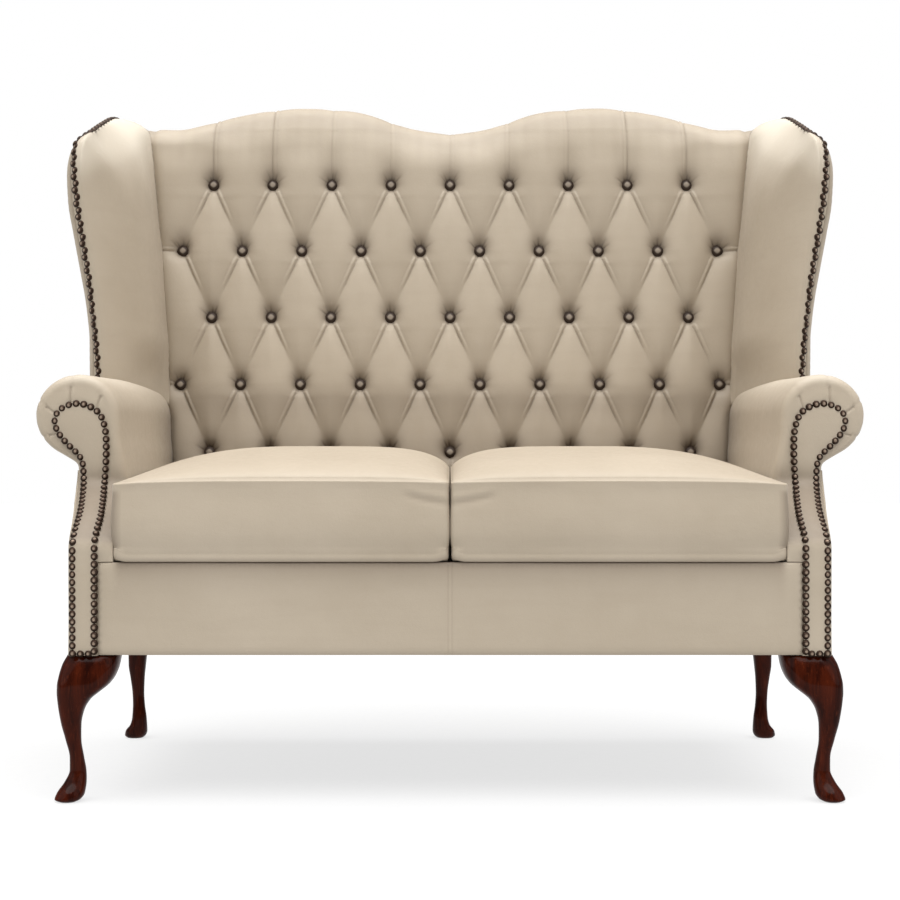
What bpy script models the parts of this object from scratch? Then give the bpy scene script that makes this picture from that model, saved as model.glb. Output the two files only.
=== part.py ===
"""Two-seat high-back wing sofa with a deep-buttoned back, scroll arms, loose seat
cushions and cabriole legs.  Metres, +Z up, front faces -Y, origin on the floor under
the middle of the bounding box."""
import math
import bpy
import bmesh

# ------------------------------------------------------------------ driving sizes
Y0 = -0.3725            # the lower arm facing plane lies at this Y; depths below run back from it
GAP = 0.0003            # clearance between touching pieces
LEG_H = 0.2200          # drawn height of the leg tops, just under the seat rails
RAIL_BOTTOM = 0.2205
RAIL_TOP = 0.3400
BORDER_TOP = 0.3562     # top of the front border, where the cushions start to show
SEAT_EDGE = 0.4780      # top edge of a seat cushion at its seam
SEAT_CROWN = 0.5340     # top of a cushion's crown
CUSHION_X = (0.0015, 0.5080)
CUSHION_DEPTH = (0.0000, 0.5320)
COVER_WALL = 0.003
SWEEP_BACK = 0.135      # how far the arm scroll stands behind the lower facing
SWEEP_Z = (0.378, 0.488)
ROLL_C = (0.5957, 0.5858)   # scroll centre, X and Z, at the front
ROLL_R = 0.0655
ROLL_TOE = -0.018           # the roll runs in towards the back by this much
BACK_FRONT = 0.545          # depth of the back pad's mean front plane at Z 0.36
BACK_LEAN = 0.11            # metres of lean per metre of height
PAD_T = 0.075
FRAME_D0, FRAME_D1 = 0.0790, 0.1165   # back frame timbers, behind the pad's front plane
PANEL_D0, PANEL_D1 = 0.1175, 0.1245   # outside back
BUTTON_PITCH = 0.112
BUTTON_ROWS = [1.0412, 0.9144, 0.7876, 0.6608, 0.5340]
WING_FRONT = 0.345
WING_BOTTOM = 0.6522
LIFT = 0.0065           # heights below are drawn for short legs; the legs are stretched by this, all else raised
LIFT_FROM = 0.2150

# ------------------------------------------------------------------ materials
FINISH = {
    "leather": ((0.62, 0.52, 0.40), 0.45, 0.0),
    "lining": ((0.05, 0.05, 0.05), 0.9, 0.0),
    "beech": ((0.55, 0.38, 0.22), 0.6, 0.0),
    "mahogany": ((0.09, 0.018, 0.008), 0.25, 0.0),
    "bronze": ((0.16, 0.10, 0.07), 0.35, 0.9),
    "steel": ((0.45, 0.45, 0.46), 0.4, 1.0),
    "foam": ((0.75, 0.70, 0.55), 0.9, 0.0),
    "webbing": ((0.35, 0.27, 0.17), 0.9, 0.0),
}


def material(name):
    m = bpy.data.materials.get(name)
    if m is None:
        colour, rough, metal = FINISH[name]
        m = bpy.data.materials.new(name)
        m.use_nodes = True
        b = m.node_tree.nodes["Principled BSDF"]
        b.inputs["Base Color"].default_value = (*colour, 1)
        b.inputs["Roughness"].default_value = rough
        b.inputs["Metallic"].default_value = metal
    return m


for o in list(bpy.data.objects):
    bpy.data.objects.remove(o, do_unlink=True)

sofa = bpy.data.objects.new("sofa", None)
bpy.context.scene.collection.objects.link(sofa)


# ------------------------------------------------------------------ builders
def raised(z):
    """Height in the finished sofa of a drawn height z."""
    return z * (1 + LIFT / LIFT_FROM) if z < LIFT_FROM else z + LIFT


def solid(name, verts, faces, mat, cutter=False, smooth=False):
    """A closed mesh object.  Depths in verts run back from the facing plane; heights are as drawn."""
    me = bpy.data.meshes.new(name)
    me.from_pydata([(x, y + Y0, raised(z)) for x, y, z in verts], [], faces)
    bm = bmesh.new()
    bm.from_mesh(me)
    bmesh.ops.recalc_face_normals(bm, faces=bm.faces)
    bm.to_mesh(me)
    bm.free()
    me.materials.append(material(mat))
    ob = bpy.data.objects.new(name, me)
    bpy.context.scene.collection.objects.link(ob)
    if smooth:
        me.shade_smooth()
        me.set_sharp_from_angle(angle=math.radians(40))
    if cutter:
        ob.hide_render = True
        ob.display_type = "WIRE"
    else:
        ob.parent = sofa
    return ob


def loft(name, rings, mat, **kw):
    """Closed rings of equal length, bridged in order, with both ends capped."""
    n = len(rings[0])
    verts = [p for r in rings for p in r]
    faces = [list(range(n)), list(range((len(rings) - 1) * n, len(rings) * n))]
    for k in range(len(rings) - 1):
        for i in range(n):
            j = (i + 1) % n
            faces.append([k * n + i, k * n + j, (k + 1) * n + j, (k + 1) * n + i])
    return solid(name, verts, faces, mat, **kw)


def box(name, x, y, z, mat, **kw):
    return loft(
        name,
        [[(x[0], y[0], c), (x[1], y[0], c), (x[1], y[1], c), (x[0], y[1], c)] for c in z],
        mat, **kw)


def lean(z):
    """Depth of the back pad's mean front plane at height z."""
    return BACK_FRONT + BACK_LEAN * (z - 0.36)


def leaning(name, outline, d0, d1, mat, **kw):
    """An outline in X and Z, extruded from d0 to d1 behind the leaning front plane."""
    return loft(name, [[(x, lean(z) + d, z) for x, z in outline] for d in (d0, d1)], mat, **kw)


def boolean(ob, other, kind="DIFFERENCE"):
    m = ob.modifiers.new(kind.lower(), "BOOLEAN")
    m.operation = kind
    m.solver = "EXACT"
    m.object = other


def lathe(name, profile, x, y, mat, sides=8, **kw):
    """A turned piece on a vertical axis; profile is (radius, z) from bottom to top."""
    rings = [
        [(x + r * math.cos(2 * math.pi * i / sides), y + r * math.sin(2 * math.pi * i / sides), z) for i in range(sides)]
        for r, z in profile
    ]
    return loft(name, rings, mat, **kw)


def tube(name, pts, r, mat, sides=4, **kw):
    """A wire of constant radius through pts, in a level plane."""
    rings = []
    for i, p in enumerate(pts):
        a, b = pts[max(i - 1, 0)], pts[min(i + 1, len(pts) - 1)]
        tx, ty = b[0] - a[0], b[1] - a[1]
        ln = math.hypot(tx, ty)
        nx, ny = -ty / ln, tx / ln
        rings.append([
            (p[0] + nx * r * math.cos(t), p[1] + ny * r * math.cos(t), p[2] + r * math.sin(t))
            for t in (2 * math.pi * (k + 0.5) / sides for k in range(sides))])
    return loft(name, rings, mat, **kw)


def ease(t):
    t = min(1.0, max(0.0, t))
    return t * t * (3 - 2 * t)


def table(pairs, z):
    """Straight-line reading of (z, value) pairs."""
    if z <= pairs[0][0]:
        return pairs[0][1]
    for (z0, v0), (z1, v1) in zip(pairs, pairs[1:]):
        if z <= z1:
            return v0 + (v1 - v0) * (z - z0) / (z1 - z0)
    return pairs[-1][1]


SIDES = (("left", -1), ("right", 1))


def sweep(z):
    """Depth of the arm's front edge at height z: it sweeps back up to the scroll."""
    return SWEEP_BACK * ease((z - SWEEP_Z[0]) / (SWEEP_Z[1] - SWEEP_Z[0]))


# Outer edge of the arm seen from the front: straight side, a neck, then the scroll's underside.
ARM_OUT = [(0.215, 0.5788), (0.386, 0.5785), (0.407, 0.5792), (0.428, 0.5827), (0.452, 0.5892), (0.479, 0.5934),
           (0.498, 0.5931), (0.509, 0.5973), (0.5203, 0.615), (0.533, 0.6346), (0.5515, 0.6509), (0.570, 0.6590),
           (ROLL_C[1], ROLL_C[0] + ROLL_R)]


def arm_out(z):
    if z > ROLL_C[1]:
        return ROLL_C[0] + math.sqrt(max(0.0, ROLL_R ** 2 - (z - ROLL_C[1]) ** 2))
    return table(ARM_OUT, z)


def arm_in(z):
    if z > ROLL_C[1]:
        return ROLL_C[0] - math.sqrt(max(0.0, ROLL_R ** 2 - (z - ROLL_C[1]) ** 2))
    return table([(0.215, 0.5345), (0.525, 0.5345), (0.535, 0.5315), (ROLL_C[1], ROLL_C[0] - ROLL_R)], z)


ARM_Z = [0.2153, 0.378, 0.394, 0.410, 0.424, 0.440, 0.456, 0.470, 0.488, 0.500, 0.512, 0.525, 0.540, 0.556, 0.571,
         0.5858, 0.600, 0.614, 0.627, 0.638, 0.646, 0.6500]
ROLL_Z = [0.5255, 0.540, 0.556, 0.571, 0.5858, 0.600, 0.614, 0.627, 0.638, 0.646, 0.6510]


def level(s, z, x0, x1, y0, y1, x0r=None, x1r=None):
    """One horizontal ring of four corners on side s; x0r and x1r are its edges at the back."""
    x0r = x0 if x0r is None else x0r
    x1r = x1 if x1r is None else x1r
    return [(s * x0, y0, z), (s * x1, y0, z), (s * x1r, y1, z), (s * x0r, y1, z)]


# ------------------------------------------------------------------ seat frame
box("front_seat_rail", (-0.5390, 0.5390), (0.0105, 0.0370), (RAIL_BOTTOM, RAIL_TOP), "beech")
box("rear_seat_rail", (-0.5525, 0.5525), (0.6120, 0.6400), (RAIL_BOTTOM, RAIL_TOP), "beech")
box("centre_seat_brace", (-0.016, 0.016), (0.0373, 0.6117), (0.2405, 0.3340), "beech")
for side, s in SIDES:
    box(f"side_seat_rail_{side}", sorted((s * 0.5450, s * 0.5715)), (0.0373, 0.6060), (RAIL_BOTTOM, RAIL_TOP), "beech")
    block = [(s * 0.5447, 0.0373), (s * 0.4747, 0.0373), (s * 0.5447, 0.1073)]
    ob = loft(f"corner_block_front_{side}", [[(x, y, z) for x, y in block] for z in (0.250, 0.325)], "beech")
    drill = lathe(f"drill_block_{side}", [(0.0043, 0.24), (0.0043, 0.335)], s * 0.528, 0.0550, "steel", cutter=True)
    boolean(ob, drill)

# ------------------------------------------------------------------ legs and their bolts
# (z, outer, inner) seen from the front; the leg is the same from the side, so it points out on the diagonal.
FRONT_LEG = [(0.0000, 0.5930, 0.5690), (0.0040, 0.6005, 0.5610), (0.0120, 0.5980, 0.5560), (0.0274, 0.5877, 0.5545),
             (0.0444, 0.5805, 0.5555), (0.0632, 0.5802, 0.5585), (0.0908, 0.5856, 0.5619), (0.1141, 0.5914, 0.5613),
             (0.1330, 0.5946, 0.5577), (0.1500, 0.5970, 0.5480), (0.1620, 0.5985, 0.5333), (0.1714, 0.5988, 0.5218),
             (0.1843, 0.5970, 0.5125), (0.2012, 0.5925, 0.5068), (0.2148, 0.5855, 0.5050), (0.2150, 0.5680, 0.5050),
             (LEG_H, 0.5680, 0.5050)]
REAR_LEG = [(0.0000, 0.6120, 0.5830), (0.0040, 0.6170, 0.5780), (0.0126, 0.6152, 0.5746), (0.0243, 0.6057, 0.5740),
            (0.0373, 0.6018, 0.5746), (0.0608, 0.6005, 0.5780), (0.0845, 0.6018, 0.5796), (0.1106, 0.6057, 0.5790),
            (0.1340, 0.6090, 0.5770), (0.1800, 0.6080, 0.5720), (0.2148, 0.6060, 0.5690), (0.2150, 0.5955, 0.5690),
            (LEG_H, 0.5955, 0.5690)]


def leg_rings(s, rows, x_face, y_face, toe):
    """Rings of a leg whose section is a rounded square; toe is -1 for forward and 1 for backward."""
    rings = []
    for z, out, inn in rows:
        w = out - inn
        c = 0.28 * w                      # rounding of the outer corner and the flanks
        k = 0.45 * w if w > 0.05 else c   # the inner corner is cut away behind the knee
        pts = [(out, c), (out - 0.3 * c, 0.3 * c), (out - c, 0.0), (inn + c, 0.0), (inn + 0.3 * c, 0.3 * c), (inn, c),
               (inn, w - k), (inn + k, w), (out - c, w), (out - 0.3 * c, w - 0.3 * c), (out, w - c)]
        rings.append([(s * x, y_face - toe * (y - (out - x_face)), z) for x, y in pts])
    return rings


for side, s in SIDES:
    leg = loft(f"front_leg_{side}", leg_rings(s, FRONT_LEG, 0.5850, 0.003, -1), "mahogany", smooth=True)
    drill = lathe(f"drill_front_{side}", [(0.0043, 0.172), (0.0043, 0.235)], s * 0.528, 0.0550, "steel", cutter=True)
    boolean(leg, drill)
    lathe(f"leg_bolt_front_{side}", [(0.0040, 0.175), (0.0040, 0.3253), (0.0105, 0.3253), (0.0105, 0.3325)],
          s * 0.528, 0.0550, "steel")
    leg = loft(f"rear_leg_{side}", leg_rings(s, REAR_LEG, 0.6050, 0.6420, 1), "mahogany", smooth=True)
    drill = lathe(f"drill_rear_{side}", [(0.0043, 0.157), (0.0043, 0.3023)], s * 0.5850, 0.6235, "steel", cutter=True)
    boolean(leg, drill)
    lathe(f"leg_bolt_rear_{side}", [(0.0040, 0.160), (0.0040, 0.300)], s * 0.5850, 0.6235, "steel")

# ------------------------------------------------------------------ seat suspension
for side, s in SIDES:
    unit = None
    for k, xc in enumerate((0.090, 0.255, 0.420)):
        pts = [(s * xc + 0.021 * (1 if i % 2 else -1), 0.020 + 0.0290 * i, 0.3433) for i in range(22)]
        name = f"seat_spring_unit_{side}" if k == 0 else f"zigzag_{side}_{k}"
        ob = tube(name, pts, 0.0022, "steel", cutter=k > 0)
        if k == 0:
            unit = ob
        else:
            boolean(unit, ob, "UNION")
    for k, y in enumerate((0.2085, 0.4405)):
        tie = tube(f"tie_{side}_{k}", [(s * 0.060, y, 0.3433), (s * 0.450, y, 0.3433)], 0.0014, "steel", cutter=True)
        boolean(unit, tie, "UNION")
box("seat_deck", (-0.5060, 0.5060), (0.0120, 0.5400), (0.3470, 0.3557), "webbing")

# ------------------------------------------------------------------ arms
for side, s in SIDES:
    post = []
    for z in ARM_Z[:-2]:
        x0, x1 = max(arm_in(z) + 0.0060, 0.5395), arm_out(z) - (0.0075 if z < 0.505 else 0.006)
        z_in = z + (0.0052 if z == ARM_Z[0] else 0)
        post.append(level(s, z_in, x0, x1, sweep(z) + 0.0085, sweep(z) + 0.0360))
    ob = loft(f"arm_front_post_{side}", post, "beech")
    facing = [level(s, z, arm_in(z), arm_out(z), sweep(z), sweep(z) + 0.0080) for z in ARM_Z]
    loft(f"arm_facing_{side}", facing, "leather", smooth=True)
    pad = []
    for z in [0.3575, 0.378, 0.394, 0.410, 0.424, 0.440, 0.456, 0.470, 0.488, 0.5245]:
        xf = 0.5105 + 0.012 * ease((z - 0.40) / 0.12)
        pad.append(level(s, z, xf, 0.5335, sweep(z) + 0.0020, 0.5350, 0.5105, 0.5335))
    loft(f"inside_arm_pad_{side}", pad, "leather", smooth=True)
    box(f"arm_top_rail_{side}", sorted((s * 0.5450, s * 0.5840)), (0.1718, 0.6370), (0.4880, 0.5245), "beech")
    roll = [level(s, z, arm_in(z), arm_out(z), 0.1718, 0.6405, arm_in(z) + ROLL_TOE, arm_out(z) + ROLL_TOE) for z in ROLL_Z]
    loft(f"arm_roll_{side}", roll, "leather", smooth=True)
    skin = []
    for z in ARM_Z[:9] + [0.4985]:
        x = arm_out(z)
        skin.append(level(s, z, x - 0.0060, x, sweep(z) + 0.0085, lean(z) + 0.1170, 0.6000, 0.6060))
    loft(f"outside_arm_{side}", skin, "leather", smooth=True)

# ------------------------------------------------------------------ front border and dust cover
box("front_border", (-0.5340, 0.5340), (0.0005, 0.0100), (0.2175, BORDER_TOP), "leather")
half_cover = [(0.4930, 0.0120), (0.4930, 0.0870), (0.5660, 0.0870), (0.5660, 0.5900), (0.5480, 0.5900), (0.5480, 0.6360)]
cover = half_cover + [(-x, y) for x, y in half_cover[::-1]]   # notched round the legs
loft("dust_cover", [[(x, y, z) for x, y in cover] for z in (0.2178, 0.2200)], "lining")


# ------------------------------------------------------------------ wings
def join_x(z):
    """X of the line where a wing meets the buttoned back."""
    return 0.533 + 0.085 * (z - 0.67)


def wing_in(y, z):
    t = min(1.0, max(0.0, (0.60 - y) / (0.60 - WING_FRONT)))
    return join_x(z) + 0.018 * t + 0.032 * t ** 4


WING_EDGE = [(WING_BOTTOM, 0.350), (0.75, 0.346), (0.90, WING_FRONT), (1.02, 0.345), (1.050, 0.349), (1.070, 0.358),
             (1.084, 0.378), (1.096, 0.410), (1.113, 0.450), (1.133, 0.500), (1.147, 0.550)]


def wing_piece(name, a, b, front_inset, back_d, mat, top=1.147, extra=0.0):
    """A wing layer between offsets a and b from the wing's inner face; extra thickens it towards the back."""
    rings = []
    for z, yf in WING_EDGE:
        if z > top:
            break
        y0, y1 = yf + 0.006, lean(z) + back_d
        ys = [y0 + (y1 - y0) * k / 5 for k in range(6)]
        xs = [wing_in(y, z) for y in ys]
        f = (front_inset - 0.006) / (ys[1] - ys[0])
        ys[0], xs[0] = ys[0] + f * (ys[1] - ys[0]), xs[0] + f * (xs[1] - xs[0])

        def more(y):
            return extra * ease((y - 0.40) / 0.25)

        inner = [(x + a + more(y), y) for x, y in zip(xs, ys)]
        outer = [(x + b + more(y), y) for x, y in zip(xs, ys)]
        rings.append([(x, y, z) for x, y in inner + outer[::-1]])
    return rings


for side, s in SIDES:
    for name, a, b, inset, back_d, mat, top, extra in (
        ("wing_pad", 0.0, 0.0220, 0.006, 0.0750, "leather", 1.147, 0.0),
        ("wing_frame", 0.0223, 0.0400, 0.020, 0.0785, "beech", 1.050, 0.0),
        ("outside_wing", 0.0410, 0.0470, 0.006, 0.1170, "leather", 1.147, 0.024),
    ):
        rings = wing_piece(name, a, b, inset, back_d, mat, top, extra)
        loft(f"{name}_{side}", [[(s * x, y, z) for x, y, z in r] for r in rings], mat, smooth=name != "wing_frame")

# ------------------------------------------------------------------ back
def crest(x):
    """Height of the shaped top edge of the back: two humps, a dip between them and one beside each wing."""
    return 1.1765 - 0.0235 * math.cos(2 * math.pi * min(abs(x), 0.54) / 0.54)


HALF = 0.0008
pad_side = [(join_x(z) - HALF, z) for z in (0.6560, 0.80, 0.95, 1.10)]
top_x = [0.566 - 0.0566 * k for k in range(21)]
pad_outline = ([(-0.5075, 0.3620), (0.5075, 0.3620), (0.5075, 0.6530)] + pad_side
               + [(x, crest(x) - 0.004) for x in top_x]
               + [(-x, z) for x, z in pad_side[::-1]] + [(-0.5075, 0.6530)])
back_pad = leaning("back_pad", pad_outline, 0.0, PAD_T, "leather")

# Diamond pockets for the buttons, each with a passage for its twine.
verts, faces = [], []
for k, zr in enumerate(BUTTON_ROWS):
    n = 9 if k % 2 == 0 else 10
    for i in range(n):
        xc = (i - (n - 1) / 2) * BUTTON_PITCH
        base = len(verts)
        for d, rx, rz in ((-0.012, 0.030, 0.036), (0.0240, 0.0150, 0.0150), (0.0240, 0.0030, 0.0030), (0.0850, 0.0030, 0.0030)):
            for ux, uz in ((1, 0), (0, 1), (-1, 0), (0, -1)):
                z = zr + uz * rz
                verts.append((xc + ux * rx, lean(z) + d, z))
        for q in range(3):
            for e in range(4):
                a, b = base + 4 * q + e, base + 4 * q + (e + 1) % 4
                faces.append([a, b, b + 4, a + 4])
        faces.append([base + 3, base + 2, base + 1, base])
        faces.append([base + 12, base + 13, base + 14, base + 15])
pockets = solid("button_pockets", verts, faces, "leather", cutter=True)
boolean(back_pad, pockets)

# Each row of buttons: covered heads on twines that are tied off to one lath behind the webbing.
for k, zr in enumerate(BUTTON_ROWS):
    n = 9 if k % 2 == 0 else 10
    xs = [(i - (n - 1) / 2) * BUTTON_PITCH for i in range(n)]
    lath = box(f"button_row_{k + 1}", (xs[0] - 0.012, xs[-1] + 0.012),
               (lean(zr) + 0.0830, lean(zr) + 0.0900), (zr - 0.007, zr + 0.007), "leather")
    verts, faces = [], []
    for xc in xs:
        base = len(verts)
        prof = ((0.0120, 0.0040), (0.0160, 0.0105), (0.0232, 0.0095), (0.0232, 0.0020), (0.0860, 0.0020))
        for d, r in prof:
            for e in range(5):
                t = 2 * math.pi * (e + 0.25) / 5
                verts.append((xc + r * math.cos(t), lean(zr + r * math.sin(t)) + d, zr + r * math.sin(t)))
        for q in range(len(prof) - 1):
            for e in range(5):
                a, b = base + 5 * q + e, base + 5 * q + (e + 1) % 5
                faces.append([a, b, b + 5, a + 5])
        faces.append([base + e for e in range(4, -1, -1)])
        faces.append([base + 20 + e for e in range(5)])
    heads = solid(f"buttons_{k + 1}", verts, faces, "leather", cutter=True)
    boolean(lath, heads, "UNION")

# Webbing: six upright and four cross straps, woven flat on the front of the back frame.
up = [0.084, 0.252, 0.420]
xb = sorted([-0.5525, 0.5525] + [sx * c + e for c in up for sx in (-1, 1) for e in (-0.018, 0.018)])
rows_z = [0.5974, 0.7242, 0.8510, 0.9778]
zb = sorted([0.4000, 1.0850] + [c + e for c in rows_z for e in (-0.024, 0.024)])


def strap(i, j):
    x, z = (xb[i] + xb[i + 1]) / 2, (zb[j] + zb[j + 1]) / 2
    return any(abs(abs(x) - c) < 0.018 for c in up) or any(abs(z - c) < 0.024 for c in rows_z)


verts, faces = [], []
nx, nz = len(xb), len(zb)
for d in (0.0757, 0.0782):
    verts += [(x, lean(z) + d, z) for z in zb for x in xb]
off = nx * nz
for j in range(nz - 1):
    for i in range(nx - 1):
        if not strap(i, j):
            continue
        a, b, c, e = j * nx + i, j * nx + i + 1, (j + 1) * nx + i + 1, (j + 1) * nx + i
        faces += [[a, b, c, e], [e + off, c + off, b + off, a + off]]
        for (p, q), (di, dj) in (((a, b), (0, -1)), ((b, c), (1, 0)), ((c, e), (0, 1)), ((e, a), (-1, 0))):
            ii, jj = i + di, j + dj
            if not (0 <= ii < nx - 1 and 0 <= jj < nz - 1 and strap(ii, jj)):
                faces.append([q, p, p + off, q + off])
used = sorted({v for f in faces for v in f})
index = {v: i for i, v in enumerate(used)}
solid("back_webbing", [verts[v] for v in used], [[index[v] for v in f] for f in faces], "webbing")

rail_top = [(0.5525 - 0.055250 * k) for k in range(21)]
leaning("back_top_rail", [(-0.5525, 1.0620), (0.5525, 1.0620)] + [(x, crest(x) - 0.034) for x in rail_top],
        FRAME_D0, FRAME_D1, "beech")
leaning("back_lower_rail", [(-0.5525, 0.3900), (0.5525, 0.3900), (0.5525, 0.4400), (-0.5525, 0.4400)],
        FRAME_D0, FRAME_D1, "beech")
for side, s in SIDES:
    ob = leaning(f"back_post_{side}", [(s * 0.5530, RAIL_BOTTOM), (s * 0.5930, RAIL_BOTTOM), (s * 0.5930, 1.120), (s * 0.5530, 1.120)],
                 FRAME_D0, FRAME_D1, "beech")
    boolean(ob, bpy.data.objects[f"drill_rear_{side}"])


def rear_x(z):
    return 0.6060 if z < 0.60 else 0.6060 + 0.075 * (z - 0.60)


back_sides = [(rear_x(z), z) for z in (0.2175, 0.60, 0.90, 1.09)]
top_x = [0.600 - 0.0600 * k for k in range(21)]
leaning("outside_back",
        back_sides + [(x, crest(x) - 0.006) for x in top_x] + [(-x, z) for x, z in back_sides[::-1]],
        PANEL_D0, PANEL_D1, "leather")

# ------------------------------------------------------------------ decorative nail strips
def strip(name, path, across, mat, width=0.0105, height=0.0040, closed=False):
    """A bead of close-set domed nails: path points lie on the surface, across gives the direction over the strip."""
    rings = []
    for p, (a, out) in zip(path, across):
        ring = []
        for u, h in ((-0.5, GAP), (0.5, GAP), (0.28, height), (-0.28, height)):
            ring.append(tuple(p[i] + a[i] * u * width + out[i] * h for i in range(3)))
        rings.append(ring)
    if not closed:
        return loft(name, rings, mat)
    n, verts, faces = 4, [q for r in rings for q in r], []
    m = len(rings)
    for k in range(m):
        for i in range(n):
            j = (i + 1) % n
            faces.append([k * n + i, k * n + j, ((k + 1) % m) * n + j, ((k + 1) % m) * n + i])
    return solid(name, verts, faces, mat)


# Loop round the arm facing, X and Z, starting low on the outer side and going over the scroll.
LOOP = [(0.5712, 0.222), (0.5712, 0.300), (0.5712, 0.378), (0.5712, 0.394), (0.5712, 0.410), (0.5722, 0.424), (0.5752, 0.440),
        (0.5792, 0.456), (0.5820, 0.470), (0.5836, 0.488), (0.5842, 0.500), (0.5862, 0.5120), (0.5920, 0.5225),
        (0.6010, 0.5312), (0.6095, 0.5398), (0.6175, 0.5488), (0.6240, 0.5580), (0.6286, 0.5680), (0.6298, 0.5772),
        (0.6272, 0.5868), (0.6210, 0.5942), (0.6120, 0.5995), (0.6010, 0.6030), (0.5890, 0.6032), (0.5770, 0.6000),
        (0.5665, 0.5942), (0.5590, 0.5868), (0.5545, 0.5780), (0.5515, 0.5680), (0.5495, 0.5570), (0.5487, 0.5450),
        (0.5487, 0.5250), (0.5497, 0.500), (0.5506, 0.488), (0.5502, 0.470), (0.5476, 0.456), (0.5437, 0.440),
        (0.5402, 0.424), (0.5390, 0.410), (0.5388, 0.394), (0.5388, 0.378), (0.5388, 0.300), (0.5388, 0.222)]
for side, s in SIDES:
    path, across = [], []
    m = len(LOOP)
    for i, (x, z) in enumerate(LOOP):
        (xa, za), (xb_, zb_) = LOOP[i - 1], LOOP[(i + 1) % m]
        tx, tz = xb_ - xa, zb_ - za
        ln = math.hypot(tx, tz)
        path.append((s * x, sweep(z), z))
        if SWEEP_Z[0] <= z <= SWEEP_Z[1]:   # level across where the facing slopes
            across.append(((s * (-1.0 if tz > 0 else 1.0), 0.0, 0.0), (0.0, -1.0, 0.0)))
        else:
            across.append(((s * -tz / ln, 0.0, tx / ln), (0.0, -1.0, 0.0)))
    strip(f"arm_nail_trim_{side}", path, across, "bronze", closed=True)

    path, across = [], []
    for z, yf in WING_EDGE:
        y = yf + 0.006
        path.append((s * (wing_in(y, z) + 0.036), y, z))
        across.append(((s * 1.0, 0.0, 0.0), (0.0, -1.0, 0.0) if z < 1.05 else (0.0, -0.6, 0.8)))
    strip(f"wing_nail_trim_{side}", path, across, "bronze")

# ------------------------------------------------------------------ seat cushions
def cushion(name, x, y, z0, z1, crown, mat, cutter=False):
    """A boxed cushion with a domed top."""
    n = 6
    verts, faces = [], []
    for j in range(n + 1):
        for i in range(n + 1):
            u, v = 2 * i / n - 1, 2 * j / n - 1
            verts.append((x[0] + (x[1] - x[0]) * i / n, y[0] + (y[1] - y[0]) * j / n,
                          z1 + crown * (1 - u * u) ** 0.6 * (1 - v * v) ** 0.6))
    low = len(verts)
    ring = [i for i in range(n)] + [(n + 1) * k + n for k in range(n)] + [n * (n + 1) + n - i for i in range(n)] + [(n + 1) * (n - k) for k in range(n)]
    for r in ring:
        verts.append((verts[r][0], verts[r][1], z0))
    for j in range(n):
        for i in range(n):
            a = j * (n + 1) + i
            faces.append([a, a + 1, a + n + 2, a + n + 1])
    m = len(ring)
    for k in range(m):
        faces.append([ring[k], low + k, low + (k + 1) % m, ring[(k + 1) % m]])
    faces.append([low + k for k in range(m)])
    return solid(name, verts, faces, mat, cutter=cutter)


for side, s in SIDES:
    x = sorted((s * CUSHION_X[0], s * CUSHION_X[1]))
    rise = SEAT_CROWN - SEAT_EDGE
    cover = cushion(f"cushion_cover_{side}", x, CUSHION_DEPTH, BORDER_TOP + GAP, SEAT_EDGE, rise, "leather")
    w = COVER_WALL
    hollow = cushion(f"hollow_{side}", (x[0] + w, x[1] - w), (CUSHION_DEPTH[0] + w, CUSHION_DEPTH[1] - w),
                     BORDER_TOP + GAP + w, SEAT_EDGE - w, rise, "foam", cutter=True)
    mid = (x[0] + x[1]) / 2
    slot = box(f"slot_{side}", (mid - 0.210, mid + 0.210), (CUSHION_DEPTH[1] - 0.010, CUSHION_DEPTH[1] + 0.010),
               (0.405, 0.425), "foam", cutter=True)
    boolean(cover, hollow)
    boolean(cover, slot)
    g = w + 0.0085   # room for the soft wrap between the cover and the foam
    cushion(f"cushion_core_{side}", (x[0] + g, x[1] - g), (CUSHION_DEPTH[0] + g, CUSHION_DEPTH[1] - g),
            BORDER_TOP + GAP + g, SEAT_EDGE - g, rise, "foam")
    box(f"cushion_zip_{side}", (mid - 0.2095, mid + 0.2095), (CUSHION_DEPTH[1] - w + 0.0002, CUSHION_DEPTH[1] - 0.0002),
        (0.4055, 0.4245), "lining")
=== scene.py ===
"""Looks of the two-seat high-back wing sofa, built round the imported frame.

Metres, +Z up, the front faces -Y.  Depths in the tables run back from the plane of the lower
arm facings, and piece() moves them to the frame's own Y.  Most shapes are worked out for the
+X side and mirrored.
"""

import math

import bmesh
import bpy
import numpy as np
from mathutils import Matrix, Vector
from mathutils.geometry import delaunay_2d_cdt


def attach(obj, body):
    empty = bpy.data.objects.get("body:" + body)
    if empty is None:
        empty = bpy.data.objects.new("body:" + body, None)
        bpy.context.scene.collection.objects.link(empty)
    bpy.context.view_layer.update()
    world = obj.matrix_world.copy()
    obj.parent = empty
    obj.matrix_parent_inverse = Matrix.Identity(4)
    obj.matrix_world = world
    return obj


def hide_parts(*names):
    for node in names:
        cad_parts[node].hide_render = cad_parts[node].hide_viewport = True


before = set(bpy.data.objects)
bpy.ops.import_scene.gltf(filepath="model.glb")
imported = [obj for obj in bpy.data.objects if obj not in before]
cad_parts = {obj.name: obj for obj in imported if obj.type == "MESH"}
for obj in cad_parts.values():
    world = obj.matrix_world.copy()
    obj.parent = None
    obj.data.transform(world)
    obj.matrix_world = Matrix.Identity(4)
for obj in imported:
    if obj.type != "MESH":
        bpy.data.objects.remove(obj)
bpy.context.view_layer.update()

Y0 = -0.3725
LIFT, LIFT_FROM = 0.0065, 0.2150        # heights are drawn for short legs: the legs are stretched by this, all else raised
SIDES = (("left", -1.0), ("right", 1.0))


# ------------------------------------------------------------------ small tools
def ease(t):
    t = np.clip(t, 0.0, 1.0)
    return t * t * (3.0 - 2.0 * t)


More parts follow.
